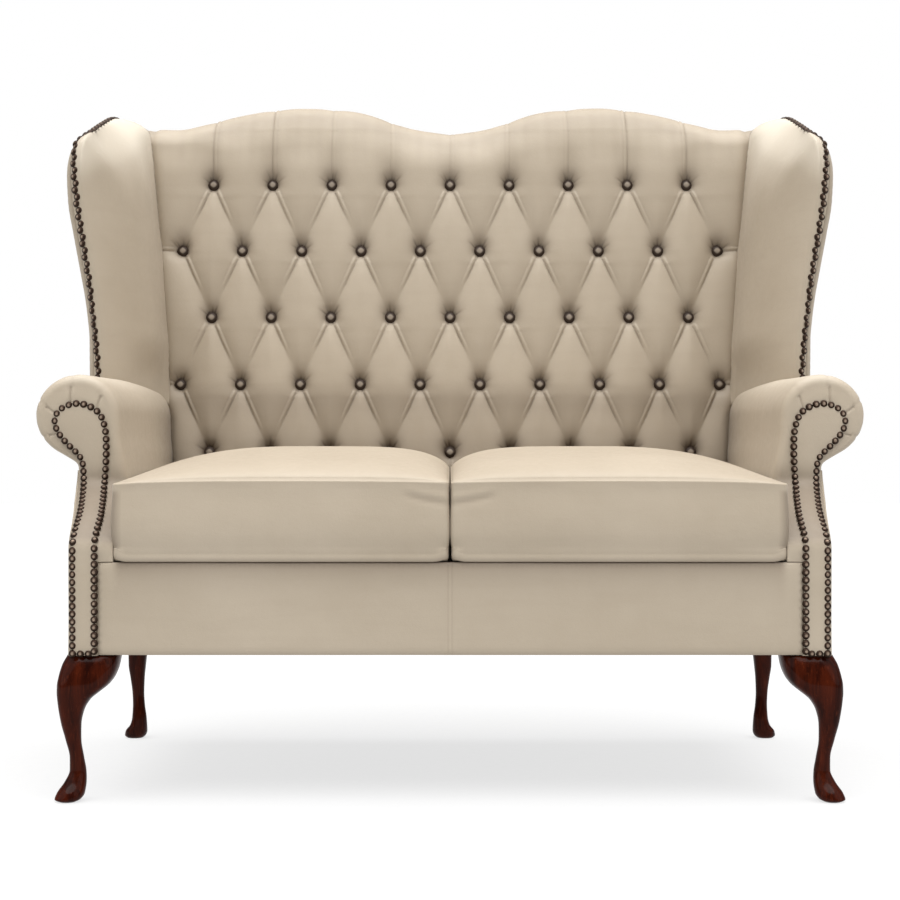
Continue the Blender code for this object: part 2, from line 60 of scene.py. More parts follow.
def table(x, pts):
    """A smooth curve through a table, without overshoot."""
    xs = np.array([p[0] for p in pts], float)
    ys = np.array([p[1] for p in pts], float)
    h = np.diff(xs)
    d = np.diff(ys) / h
    m = np.zeros(len(xs))
    m[0], m[-1] = d[0], d[-1]
    for i in range(1, len(xs) - 1):
        if d[i - 1] * d[i] > 0:
            w1, w2 = 2 * h[i] + h[i - 1], h[i] + 2 * h[i - 1]
            m[i] = (w1 + w2) / (w1 / d[i - 1] + w2 / d[i])
    x = np.clip(np.asarray(x, float), xs[0], xs[-1])
    i = np.clip(np.searchsorted(xs, x) - 1, 0, len(xs) - 2)
    t = (x - xs[i]) / h[i]
    return ((1 + 2 * t) * (1 - t) ** 2 * ys[i] + t * (1 - t) ** 2 * h[i] * m[i]
            + t * t * (3 - 2 * t) * ys[i + 1] + t * t * (t - 1) * h[i] * m[i + 1])


def even(p, step, ends=True):
    """The polyline p cut at even spacing."""
    p = np.asarray(p, float)
    s = np.r_[0.0, np.cumsum(np.linalg.norm(np.diff(p, axis=0), axis=1))]
    m = max(2, int(round(s[-1] / step)))
    q = np.linspace(0.0, s[-1], m + 1)
    if not ends:
        q = q[:-1]
    return np.stack([np.interp(q, s, p[:, k]) for k in range(p.shape[1])], 1)


def curve(pts, step=None, closed=False, k=12):
    """A smooth curve through pts, optionally cut at even spacing."""
    p = np.asarray(pts, float)
    n, out = len(p), []
    for i in range(n if closed else n - 1):
        b, c = p[i], p[(i + 1) % n]
        a = p[i - 1] if closed or i else 2 * b - c
        d = p[(i + 2) % n] if closed or i + 2 < n else 2 * c - b
        for t in np.arange(k) / k:
            out.append(0.5 * (2 * b + (c - a) * t + (2 * a - 5 * b + 4 * c - d) * t * t + (3 * b - a - 3 * c + d) * t ** 3))
    out.append(p[0] if closed else p[-1])
    out = np.array(out)
    return out if step is None else even(out, step)


def normals2(p, closed=False):
    """Unit normals on the left of a 2-D path."""
    if closed:
        d = np.roll(p, -1, 0) - np.roll(p, 1, 0)
    else:
        d = np.gradient(p, axis=0)
    d /= np.maximum(np.linalg.norm(d, axis=1), 1e-12)[:, None]
    return np.stack([-d[:, 1], d[:, 0]], 1)


def to_path(q, path):
    """Distance from each point q to a polyline, and the share of the way along it of the nearest place."""
    a, b = path[:-1], path[1:]
    ab = b - a
    L = np.maximum((ab ** 2).sum(1), 1e-18)
    best = np.full(len(q), 1e9)
    where = np.zeros(len(q))
    for lo in range(0, len(q), 4000):
        c = q[lo:lo + 4000]
        t = np.clip(((c[:, None, :] - a[None]) * ab[None]).sum(2) / L, 0, 1)
        e = np.linalg.norm(a[None] + t[..., None] * ab[None] - c[:, None, :], axis=2)
        k = e.argmin(1)
        r = np.arange(len(c))
        best[lo:lo + 4000] = e[r, k]
        where[lo:lo + 4000] = (k + t[r, k]) / len(a)
    return best, where


def inside(q, poly):
    """Which of the points q lie inside a closed polygon."""
    hit = np.zeros(len(q), bool)
    x, y = q[:, 0], q[:, 1]
    for (x0, y0), (x1, y1) in zip(poly, np.roll(poly, -1, 0)):
        if y0 == y1:
            continue
        cut = ((y0 > y) != (y1 > y)) & (x < (x1 - x0) * (y - y0) / (y1 - y0) + x0)
        hit ^= cut
    return hit


def fill(outline, extra=()):
    """Triangles inside a closed 2-D outline and through extra points: points, triangles, place of each outline point."""
    nb = len(outline)
    pts = [Vector((float(a), float(b))) for a, b in outline] + [Vector((float(a), float(b))) for a, b in extra]
    out, _, tris, orig, _, _ = delaunay_2d_cdt(pts, [], [list(range(nb))], 1, 1e-7)
    where = [0] * nb
    for i, src in enumerate(orig):
        for s in src:
            if s < nb:
                where[s] = i
    return np.array([(p.x, p.y) for p in out]), [list(t) for t in tris], where


def hexgrid(x0, x1, y0, y1, step):
    """Points of an even triangular lattice."""
    rows = np.arange(y0, y1, step * 0.866)
    pts = []
    for k, y in enumerate(rows):
        xs = np.arange(x0 + (step / 2 if k % 2 else 0), x1, step)
        pts.append(np.stack([xs, np.full(len(xs), y)], 1))
    return np.concatenate(pts)


def grid_faces(nu, nv, wrap_u=False, wrap_v=False, base=0):
    """Quads of a grid whose point (i, j) is number base + i * nv + j."""
    out = []
    for i in range(nu if wrap_u else nu - 1):
        for j in range(nv if wrap_v else nv - 1):
            i2, j2 = (i + 1) % nu, (j + 1) % nv
            out.append((base + i * nv + j, base + i2 * nv + j, base + i2 * nv + j2, base + i * nv + j2))
    return out


def wob(x, y, z, size, seed=0.0):
    """A slow, even unevenness between about -1 and 1."""
    k = 2 * math.pi / size
    return (np.sin(k * x + 1.3 * seed + 0.7 * np.sin(0.61 * k * z + seed))
            + np.sin(0.83 * k * z + 2.1 * seed + 0.9 * np.sin(0.53 * k * y + 1.7))
            + np.sin(0.71 * k * y + 0.47 * k * x - 0.39 * k * z + 3.3 * seed)) / 3.0


def piece(name, verts, faces, mat, body="frame", attrs=None, weld=0.0, smooth=True):
    """A closed mesh as a piece that rides on a body. attrs are numbers per point."""
    v = np.array(verts, float)
    v[:, 1] += Y0
    v[:, 2] = np.where(v[:, 2] < LIFT_FROM, v[:, 2] * (1 + LIFT / LIFT_FROM), v[:, 2] + LIFT)
    me = bpy.data.meshes.new(name)
    me.from_pydata(v.tolist(), [], [[int(i) for i in f] for f in faces])
    for key, a in (attrs or {}).items():
        at = me.attributes.new(key, "FLOAT", "POINT")
        at.data.foreach_set("value", np.asarray(a, np.float32))
    bm = bmesh.new()
    bm.from_mesh(me)
    if weld:
        bmesh.ops.remove_doubles(bm, verts=bm.verts, dist=weld)
        bmesh.ops.dissolve_degenerate(bm, edges=bm.edges, dist=1e-7)
    bmesh.ops.recalc_face_normals(bm, faces=bm.faces)
    bm.to_mesh(me)
    bm.free()
    me.polygons.foreach_set("use_smooth", [smooth] * len(me.polygons))
    me.materials.append(mat)
    o = bpy.data.objects.new(name, me)
    bpy.context.scene.collection.objects.link(o)
    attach(o, body)
    return o


def mirrored(v, s):
    v = np.array(v, float)
    v[:, 0] *= s
    return v


def sheet_solid(uv, tris, rim, front, back):
    """Closed body between two surfaces over one flat pattern; rim is the outline, in order."""
    n = len(uv)
    verts = np.concatenate([front, back])
    faces = [tuple(t) for t in tris] + [tuple(n + i for i in t[::-1]) for t in tris]
    for a, b in zip(rim, rim[1:] + rim[:1]):
        faces.append((a, b, n + b, n + a))
    return verts, faces


def lathe(profile, n):
    """Rings of a turned shape, profile (radius, height) from the top centre to the foot centre: points and faces about +Z."""
    verts, faces = [(0.0, 0.0, profile[0][1])], []
    for r, h in profile[1:-1]:
        for k in range(n):
            a = 2 * math.pi * k / n
            verts.append((r * math.cos(a), r * math.sin(a), h))
    verts.append((0.0, 0.0, profile[-1][1]))
    m = len(profile) - 2
    for k in range(n):
        faces.append((0, 1 + k, 1 + (k + 1) % n))
    for j in range(m - 1):
        for k in range(n):
            a, b = 1 + j * n + k, 1 + j * n + (k + 1) % n
            faces.append((a, a + n, b + n, b))
    last = len(verts) - 1
    for k in range(n):
        faces.append((last, last - n + (k + 1) % n, last - n + k))
    return np.array(verts), faces


# ------------------------------------------------------------------ materials
class Nodes:
    """Short names for building one material."""

    def __init__(self, name):
        self.mat = bpy.data.materials.new(name)
        self.mat.use_nodes = True
        self.t = self.mat.node_tree
        self.t.nodes.clear()
        self.out = self.t.nodes.new("ShaderNodeOutputMaterial")
        self.bsdf = self.t.nodes.new("ShaderNodeBsdfPrincipled")
        self.link(self.bsdf.outputs["BSDF"], self.out.inputs["Surface"])
        self.co = self.t.nodes.new("ShaderNodeTexCoord").outputs["Object"]

    def link(self, a, b):
        self.t.links.new(a, b)

    def put(self, value, socket):
        if hasattr(value, "is_linked"):
            self.link(value, socket)
        else:
            socket.default_value = value

    def set(self, **values):
        for key, v in values.items():
            self.bsdf.inputs[key.replace("_", " ")].default_value = v

    def at(self, scale=(1, 1, 1), offset=(0, 0, 0)):
        m = self.t.nodes.new("ShaderNodeMapping")
        m.inputs["Scale"].default_value = scale
        m.inputs["Location"].default_value = offset
        self.link(self.co, m.inputs["Vector"])
        return m.outputs["Vector"]

    def noise(self, scale, detail=3.0, rough=0.5, vec=None, distortion=0.0):
        n = self.t.nodes.new("ShaderNodeTexNoise")
        n.inputs["Scale"].default_value = scale
        n.inputs["Detail"].default_value = detail
        n.inputs["Roughness"].default_value = rough
        n.inputs["Distortion"].default_value = distortion
        self.link(vec or self.co, n.inputs["Vector"])
        return n.outputs["Fac"]

    def cells(self, scale, feature="F1", out="Distance", vec=None, random=1.0):
        n = self.t.nodes.new("ShaderNodeTexVoronoi")
        n.feature = feature
        n.inputs["Scale"].default_value = scale
        n.inputs["Randomness"].default_value = random
        self.link(vec or self.co, n.inputs["Vector"])
        return n.outputs[out]

    def wave(self, scale, axis="X", distortion=0.0, vec=None, profile="SIN"):
        n = self.t.nodes.new("ShaderNodeTexWave")
        n.bands_direction = axis
        n.wave_profile = profile
        n.inputs["Scale"].default_value = scale
        n.inputs["Distortion"].default_value = distortion
        self.link(vec or self.co, n.inputs["Vector"])
        return n.outputs["Fac"]

    def attr(self, name):
        n = self.t.nodes.new("ShaderNodeAttribute")
        n.attribute_name = name
        return n.outputs["Fac"]

    def math(self, op, a, b=0.0, clamp=False):
        n = self.t.nodes.new("ShaderNodeMath")
        n.operation = op
        n.use_clamp = clamp
        self.put(a, n.inputs[0])
        self.put(b, n.inputs[1])
        return n.outputs[0]

    def span(self, v, a, b, lo=0.0, hi=1.0):
        n = self.t.nodes.new("ShaderNodeMapRange")
        self.link(v, n.inputs["Value"])
        for key, val in (("From Min", a), ("From Max", b), ("To Min", lo), ("To Max", hi)):
            n.inputs[key].default_value = val
        return n.outputs["Result"]

    def mix(self, fac, a, b, kind="MIX"):
        n = self.t.nodes.new("ShaderNodeMix")
        n.data_type = "RGBA"
        n.blend_type = kind
        self.put(fac, n.inputs["Factor"])
        for v, s in ((a, n.inputs[6]), (b, n.inputs[7])):
            self.put(v if hasattr(v, "is_linked") else (*v, 1.0), s)
        return n.outputs[2]

    def bump(self, height, strength, distance, under=None):
        n = self.t.nodes.new("ShaderNodeBump")
        n.inputs["Strength"].default_value = strength
        n.inputs["Distance"].default_value = distance
        self.link(height, n.inputs["Height"])
        if under is not None:
            self.link(under, n.inputs["Normal"])
        return n.outputs["Normal"]

    def done(self, colour=None, rough=None, normal=None):
        if colour is not None:
            self.link(colour, self.bsdf.inputs["Base Color"])
        if rough is not None:
            self.link(rough, self.bsdf.inputs["Roughness"])
        if normal is not None:
            self.link(normal, self.bsdf.inputs["Normal"])
        return self.mat


LEATHER = (0.412, 0.350, 0.272)
LEATHER_PAINTED_SHADE = (0.066, 0.041, 0.025)


def leather_material(name, seed, tone=1.0, rough=0.50):
    """Cream hide: broad tone changes and a pebbled grain with finer wrinkles; painted shade darkens it and painted
    light lightens it, both read from point attributes fixed to the surface.
    """
    n = Nodes(name)
    v = n.at(offset=(seed, 1.7 * seed, 0.6 * seed))
    broad = n.noise(4.2, 3.0, 0.55, v)
    mottle = n.noise(38.0, 4.0, 0.6, v)
    base = tuple(c * tone for c in LEATHER)
    light = tuple(min(1.0, c * 1.055) for c in base)
    dark = (base[0] * 0.945, base[1] * 0.935, base[2] * 0.915)
    c = n.mix(n.span(broad, 0.32, 0.70), dark, light)
    c = n.mix(n.span(mottle, 0.35, 0.75, 0.0, 0.10), c, (base[0] * 0.80, base[1] * 0.77, base[2] * 0.72))
    pores = n.cells(820.0, "DISTANCE_TO_EDGE", "Distance", v)
    c = n.mix(n.span(pores, 0.0, 0.10, 0.16, 0.0), c, (base[0] * 0.66, base[1] * 0.60, base[2] * 0.52))
    drawn = n.noise(9.0, 3.0, 0.55, n.at(scale=(0.5, 1.0, 4.5), offset=(seed, 0.0, 2.0 * seed)), 0.5)
    c = n.mix(n.span(drawn, 0.48, 0.72, 0.0, 0.10), c, (base[0] * 0.74, base[1] * 0.72, base[2] * 0.68))
    # painted light, then painted shade, from the mesh's point attributes
    c = n.mix(n.attr("pale"), c, (0.640, 0.575, 0.475))
    c = n.mix(n.attr("painted_shade"), c, LEATHER_PAINTED_SHADE)
    pebble = n.cells(820.0, "SMOOTH_F1", "Distance", v)
    wrinkle = n.noise(210.0, 5.0, 0.62, v, 0.4)
    slow = n.noise(26.0, 3.0, 0.5, v)
    b = n.bump(slow, 0.16, 0.0040)
    b = n.bump(wrinkle, 0.16, 0.0012, b)
    b = n.bump(pebble, 0.20, 0.0006, b)
    n.set(Specular_IOR_Level=0.27, Sheen_Weight=0.05, Sheen_Roughness=0.5)
    r = n.span(n.noise(90.0, 3.0, 0.5, v), 0.3, 0.7, rough - 0.05, rough + 0.07)
    return n.done(c, r, b)


HIDE_BACK = leather_material("cream_hide_back", 1.0)
HIDE_ARM = leather_material("cream_hide_arm", 3.1)
HIDE_WING = leather_material("cream_hide_wing", 5.3)
HIDE_SEAT = leather_material("cream_hide_seat", 7.9, rough=0.47)
HIDE_RAIL = leather_material("cream_hide_rail", 9.7)


def button_material():
    n = Nodes("covered_button_hide")
    rim = n.attr("rim")
    c = n.mix(n.span(n.noise(160.0, 3.0), 0.3, 0.7), (0.235, 0.192, 0.150), (0.290, 0.240, 0.188))
    # painted shade darkens the button towards its rim
    c = n.mix(rim, c, (0.030, 0.018, 0.012))
    b = n.bump(n.cells(900.0, "SMOOTH_F1"), 0.25, 0.0005)
    n.set(Specular_IOR_Level=0.22)
    return n.done(c, n.span(n.noise(120.0), 0.3, 0.7, 0.46, 0.58), b)


def nail_material():
    """Antique bronze: painted shade darkens it towards the rim, and the crown keeps the rubbed bright bronze."""
    n = Nodes("antique_bronze_nails")
    rim = n.attr("rim")
    worn = n.mix(n.span(n.noise(900.0, 3.0), 0.35, 0.65), (0.27, 0.195, 0.140), (0.40, 0.310, 0.240))
    c = n.mix(rim, worn, (0.020, 0.0095, 0.0055))
    b = n.bump(n.noise(1500.0, 2.0), 0.22, 0.0003)
    n.set(Metallic=0.85, Specular_IOR_Level=0.4)
    return n.done(c, n.span(n.noise(700.0), 0.3, 0.7, 0.38, 0.52), b)


def mahogany_material():
    """Dark red polished wood, streaked along the leg, under a clear lacquer."""
    n = Nodes("polished_mahogany")
    v = n.at(scale=(1.0, 1.0, 0.10))
    streak = n.noise(120.0, 5.0, 0.62, v, 0.6)
    figure = n.noise(34.0, 4.0, 0.6, v, 1.2)
    c = n.mix(n.span(figure, 0.34, 0.68), (0.0140, 0.0018, 0.0007), (0.050, 0.0070, 0.0018))
    c = n.mix(n.span(streak, 0.52, 0.74, 0.0, 0.80), c, (0.0055, 0.0010, 0.0006))
    fleck = n.noise(420.0, 2.0, 0.5, n.at(scale=(1.0, 1.0, 0.05)))
    c = n.mix(n.span(fleck, 0.58, 0.74, 0.0, 0.55), c, (0.082, 0.015, 0.0045))
    b = n.bump(fleck, 0.10, 0.0005)
    n.set(Specular_IOR_Level=0.03, Specular_Tint=(1.0, 0.45, 0.30, 1.0), Coat_Weight=0.16, Coat_Roughness=0.12, Coat_IOR=1.45)
    return n.done(c, n.span(streak, 0.3, 0.8, 0.24, 0.38), b)


def beech_material():
    n = Nodes("planed_beech")
    v = n.at(scale=(6.0, 6.0, 1.0))
    ring = n.noise(9.0, 4.0, 0.6, v, 0.9)
    fleck = n.noise(320.0, 2.0, 0.5)
    c = n.mix(n.span(ring, 0.3, 0.7), (0.36, 0.240, 0.143), (0.46, 0.335, 0.22))
    c = n.mix(n.span(fleck, 0.60, 0.78, 0.0, 0.55), c, (0.26, 0.154, 0.086))
    return n.done(c, n.span(ring, 0.2, 0.8, 0.52, 0.68), n.bump(fleck, 0.25, 0.0006))


def steel_material():
    n = Nodes("oiled_spring_steel")
    v = n.noise(60.0, 4.0, 0.6)
    c = n.mix(n.span(v, 0.35, 0.7), (0.15, 0.15, 0.155), (0.30, 0.29, 0.28))
    c = n.mix(n.span(n.noise(14.0, 4.0, 0.7), 0.62, 0.80, 0.0, 0.6), c, (0.16, 0.085, 0.045))
    n.set(Metallic=0.9)
    return n.done(c, n.span(v, 0.3, 0.7, 0.28, 0.48), n.bump(n.noise(500.0, 2.0), 0.15, 0.0004))


def weave_material(name, a, b, threads, gap):
    """Plain weave with uneven threads."""
    n = Nodes(name)
    vary = n.noise(45.0, 3.0)
    up = n.wave(threads, "X", 0.4)
    over = n.wave(threads, "Y", 0.4)
    side = n.wave(threads, "Z", 0.4)
    h = n.math("MAXIMUM", n.math("MULTIPLY", up, over), n.math("MULTIPLY", n.math("MAXIMUM", up, over), side))
    c = n.mix(n.span(h, 0.05, 0.7), gap, n_mix_pair(n, vary, a, b))
    n.set(Specular_IOR_Level=0.2, Sheen_Weight=0.15)
    return n.done(c, n.span(vary, 0.3, 0.7, 0.82, 0.94), n.bump(h, 0.6, 0.0008))


def n_mix_pair(n, v, a, b):
    return n.mix(n.span(v, 0.3, 0.7), a, b)


def foam_material():
    n = Nodes("open_cell_foam")
    cell = n.cells(420.0, "F1")
    c = n.mix(n.span(cell, 0.1, 0.7), (0.53, 0.475, 0.30), (0.62, 0.575, 0.42))
    c = n.mix(n.span(n.noise(9.0), 0.4, 0.8, 0.0, 0.4), c, (0.50, 0.42, 0.24))
    n.set(Specular_IOR_Level=0.15)
    return n.done(c, n.span(cell, 0.0, 0.8, 0.85, 0.97), n.bump(cell, 0.7, 0.0012))


BUTTON = button_material()
BRONZE = nail_material()
MAHOGANY = mahogany_material()
BEECH = beech_material()
STEEL = steel_material()
WEBBING = weave_material("jute_webbing", (0.26, 0.18, 0.095), (0.34, 0.25, 0.145), 110.0, (0.11, 0.072, 0.040))
DECK = weave_material("deck_lining", (0.29, 0.245, 0.187), (0.34, 0.295, 0.23), 260.0, (0.17, 0.144, 0.108))
CAMBRIC = weave_material("black_cambric", (0.020, 0.020, 0.021), (0.034, 0.033, 0.033), 330.0, (0.008, 0.008, 0.008))
FOAM = foam_material()

# ------------------------------------------------------------------ the sofa's main curves
BACK_FRONT, BACK_LEAN, LEAN_Z = 0.5450, 0.11, 0.36
SWEEP_BACK, SWEEP_Z0, SWEEP_Z1 = 0.1350, 0.378, 0.488
ROLL_X, ROLL_Z, ROLL_R, ROLL_TOE = 0.5957, 0.5858, 0.0655, -0.0180
ROWS = (1.0412, 0.9144, 0.7876, 0.6608, 0.5340)
PITCH = 0.112


def lean(z):
    return BACK_FRONT + BACK_LEAN * (z - LEAN_Z)


def sweep(z):
    return SWEEP_BACK * ease((np.asarray(z, float) - SWEEP_Z0) / (SWEEP_Z1 - SWEEP_Z0))


def join_x(z):
    return 0.533 + 0.085 * (z - 0.67)


def rear_x(z):
    z = np.asarray(z, float)
    return np.where(z < 0.60, 0.6060, 0.6060 + 0.075 * (z - 0.60))


CREST = [(0.0, 1.1523), (0.0106, 1.1525), (0.0415, 1.1550), (0.0723, 1.1608), (0.1032, 1.1714), (0.1341, 1.1820), (0.1649, 1.1907),
         (0.1958, 1.1965), (0.2267, 1.1998), (0.2575, 1.2013), (0.2884, 1.2013), (0.3193, 1.1998), (0.3501, 1.1965), (0.3810, 1.1907),
         (0.4119, 1.1845), (0.4427, 1.1772), (0.4736, 1.1675), (0.4890, 1.1627), (0.5045, 1.1589), (0.5199, 1.1575), (0.5353, 1.1579),
         (0.5507, 1.1594), (0.5662, 1.1617), (0.5816, 1.1642), (0.5970, 1.1655), (0.6150, 1.1660)]


def crest(x):
    return table(np.abs(x), CREST) - 0.0035


# ------------------------------------------------------------------ buttoned back
ROLL_A, ROLL_B = 0.0615, 0.046          # half depth of the rolled top and its height behind
LEN_B = math.pi / 2 * math.sqrt((ROLL_A ** 2 + ROLL_B ** 2) / 2)
BACK_TAIL = 0.050                       # how far the hide runs down behind
SIDE_X = [(0.36, 0.5130), (0.44, 0.5137), (0.48, 0.5165), (0.52, 0.5192), (0.5858, 0.5208), (0.60, 0.5230), (0.615, 0.5280), (0.63, 0.5340),
          (0.645, 0.5370), (0.655, 0.5382)]
BACK_BOTTOM = 0.3625


def roll_front(x):
    """Height of the rolled top in front, and the length over it; it tightens towards the wings."""
    rf = 0.086 - 0.046 * ease((np.abs(x) - 0.40) / 0.10)
    return rf, math.pi / 2 * np.sqrt((ROLL_A ** 2 + rf ** 2) / 2)


def back_spare(w):
    """How much further the hide runs out over the top, under the wings."""
    return 0.018 * ease((w - 1.095) / 0.035) + 0.017 * ease((w - 1.145) / 0.045)


def back_side(w):
    """Half width of the back's hide, which runs a little way in behind the arms and wings."""
    return np.where(w < 0.655, table(w, SIDE_X), join_x(np.minimum(w, 1.12)) + 0.0065 + back_spare(w))


def button_places():
    out = []
    for k, z in enumerate(ROWS):
        n = 9 if k % 2 == 0 else 10
        out += [((i - (n - 1) / 2) * PITCH, z, k) for i in range(n)]
    return out


BUTTONS = button_places()


def pleat_list():
    """Each pleat as (from, to, outward side, how far its fold reaches, strength)."""
    out = []
    spots = {(round(x, 4), k): z for x, z, k in BUTTONS}
    for x, z, k in BUTTONS:
        for d in (-1, 1):
            key = (round(x + d * PITCH / 2, 4), k + 1)
            if key in spots:
                vary = 0.5 + 0.5 * math.sin(37.1 * x + 11.3 * z + 2.0 * d)
                out.append(((x, z), (key[0], spots[key]), d, 0.60 + 0.16 * vary, (0.92 if d > 0 else 0.78) + 0.25 * (1 - vary), "fold"))
        if k == 0:
            out.append(((x, z), (x, 1.40), 1 if x < 0.001 else -1, 2.0, (0.30, 0.34, 0.42, 0.85, 0.80)[round(abs(x) / PITCH)], "up"))
        if k == 4:
            out.append(((x, z), (x, 0.30), 1, 2.0, 0.6, "down"))
        if k in (1, 3) and abs(x) > 0.45:
            s = 1 if x > 0 else -1
            out.append(((x, z), (s * 0.62, z + 0.001), s, 2.0, 0.70, "out"))
    return out


PLEATS = pleat_list()


def pleat_frame(p):
    (x0, z0), (x1, z1) = p[0], p[1]
    L = math.hypot(x1 - x0, z1 - z0)
    d = ((x1 - x0) / L, (z1 - z0) / L)
    if p[5] in ("fold", "up", "down"):
        nrm = (abs(d[1]) * p[2], abs(d[0]) if p[5] == "fold" else 0.0)
    else:
        nrm = (0.0, 1.0)
    return L, d, nrm


def fold_shape(e, a):
    """Height across a fold and the painted shade in it; e runs to its overlapping side, a is its strength."""
    h = (-0.0021 * np.exp(-((e + 0.0002) / 0.0013) ** 2) + 0.0017 * np.exp(-((e - 0.0040) / 0.0022) ** 2)
         - 0.0008 * np.exp(-((e - 0.0083) / 0.0016) ** 2))
    dark = 0.27 * np.exp(-((e + 0.0002) / 0.0013) ** 2) + 0.11 * np.exp(-((e - 0.0080) / 0.0013) ** 2)
    return h * a, dark * a


def back_relief(x, w):
    """Height of the buttoned hide over its flat front, and the painted shade it carries: in its folds, round its
    buttons, along its sides, towards the seat and under the roll.
    """
    best = np.full(len(x), 1.0)
    h = np.zeros(len(x))
    dark = np.zeros(len(x))
    for p in PLEATS:
        (x0, z0) = p[0]
        L, d, nrm = pleat_frame(p)
        rx, rz = x - x0, w - z0
        t = (rx * d[0] + rz * d[1])
        e = rx * nrm[0] + rz * nrm[1]
        tc = np.clip(t, 0.0, L)
        dist = np.hypot(rx - tc * d[0], rz - tc * d[1])
        best = np.minimum(best, dist)
        near = (dist < 0.03)
        if not near.any():
            continue
        s = t[near] / L
        if p[5] == "fold":
            a = ease((t[near] - 0.006) / 0.012) * (1 - ease((s - p[3] + 0.34) / 0.34)) * p[4]
        elif p[5] == "up":
            a = ease((t[near] - 0.010) / 0.020) * p[4] * 0.85
        else:
            a = ease((t[near] - 0.008) / 0.014) * p[4]
        a = np.where((t[near] > 0) & (t[near] < L), a, 0.0)
        # painted shade along each fold
        fh, fd = fold_shape(e[near], a)
        h[near] += fh
        dark[near] += fd
    puff = 0.0105 * (1 - np.exp(-(best / 0.021) ** 1.35))
    edge = back_side(w) - back_spare(w) - np.abs(x) - 0.003 - 0.0105 * ease((w - 0.62) / 0.06)
    puff *= 1 - 0.55 * np.exp(-np.maximum(edge, 0) / 0.012)
    low = ease((w - 0.44) / 0.10)
    roll = ease((w - 1.060) / 0.075)
    h += puff * (0.35 + 0.65 * low) * (1 - 0.74 * roll)
    h -= 0.0050 * np.exp(-np.maximum(edge, 0) / 0.0055)
    # painted shade along the sides, where the hide meets the arms and wings
    dark += 0.20 * np.exp(-np.maximum(edge, 0) / 0.0035)
    for i, (bx, bz, k) in enumerate(BUTTONS):
        dx, dz = x - bx, w - bz
        near = (np.abs(dx) < 0.09) & (np.abs(dz) < 0.10)
        dx, dz = dx[near], dz[near]
        up = np.where(dz > 0, 1.38, 0.82)
        r = np.hypot(dx, dz / up)
        r0 = np.hypot(dx, dz)
        h[near] -= 0.0195 / (1 + (r / 0.0150) ** 2) ** 1.15
        ang = np.degrees(np.arctan2(dx, np.maximum(dz, 1e-6)))
        # fine wrinkles above each button, with painted shade in them
        for q in range(5):
            vary = math.sin(5.1 * i + 2.3 * q)
            th = -56 + 28 * q + 7 * vary
            long = 0.026 + 0.007 * math.sin(3.7 * i + 4.1 * q)
            win = ease((r0 - 0.009) / 0.005) * (1 - ease((r0 - 0.45 * long) / (0.62 * long))) * (dz > 0)
            line = np.exp(-((ang - th) / 5.0) ** 2) * win * (0.75 + 0.25 * math.sin(9.1 * i + 1.7 * q))
            h[near] -= 0.0014 * line
            dark[near] += 0.34 * line
        # painted shade above and round each button
        shade = np.exp(-(np.hypot(dx / 0.0185, (dz - 0.0095) / 0.0205)) ** 2.1)
        dark[near] += 0.50 * shade + 0.34 * np.exp(-(r0 / 0.0135) ** 6)
    h += 0.0007 * wob(x, w, x * 0.3, 0.16, 2.0)
    dark += 0.30 * (1 - ease((w - 0.50) / 0.17)) + 0.22 * np.exp(-((w - 0.628) / 0.028) ** 2)        # painted shade, darker towards the seat and in a band at the height of the arm tops
    # painted shade: a band just under the rolled top, and faint upright streaks where the hide is stretched over the
    # top
    streak = (np.sin(2 * np.pi * x / 0.0373 + 1.6 * np.sin(13.0 * x)) + 0.7 * np.sin(2 * np.pi * x / 0.0211 + 1.0 + 2.0 * np.sin(7.0 * x)))
    dark += 0.16 * np.exp(-((w - crest(x) + 0.0285) / 0.018) ** 2) * (1 - ease((np.abs(x) - 0.43) / 0.06))
    dark += np.maximum(0.0, 0.021 + 0.018 * streak) * ease((w - 1.055) / 0.05) * (1 - 0.6 * ease((w - 1.15) / 0.08))
    return h, np.clip(dark, 0, 0.92)


def back_base(x, w, inner=False):
    """Place and outward direction of the back's plain surface at (x, w); w is height on the front, then length over the top."""
    off = 0.003 if inner else 0.0
    rf, len_f = roll_front(x)
    zt = crest(x) - rf
    over = np.clip((w - zt) / len_f, 0.0, 1.0) + np.clip((w - zt - len_f) / LEN_B, 0.0, 1.0)
    tail = np.maximum(w - zt - len_f - LEN_B, 0.0)
    ph = math.pi / 2 * over
    a0 = 0.0745 if inner else 0.0
    a1 = 2 * ROLL_A - off
    mid, half = (a0 + a1) / 2, (a1 - a0) / 2
    b = np.where(over < 1, rf, ROLL_B) - off
    d = mid - half * np.cos(ph)
    z = np.where(w <= zt, w, crest(x) - off - b * (1 - np.sin(ph)) - tail)
    y = lean(z) + d
    n = np.stack([np.zeros_like(x), -np.cos(ph) / half, np.sin(ph) / b], 1)
    n[:, 2] += BACK_LEAN * np.cos(ph) / half
    n /= np.linalg.norm(n, axis=1)[:, None]
    return np.stack([x, y, z], 1), n


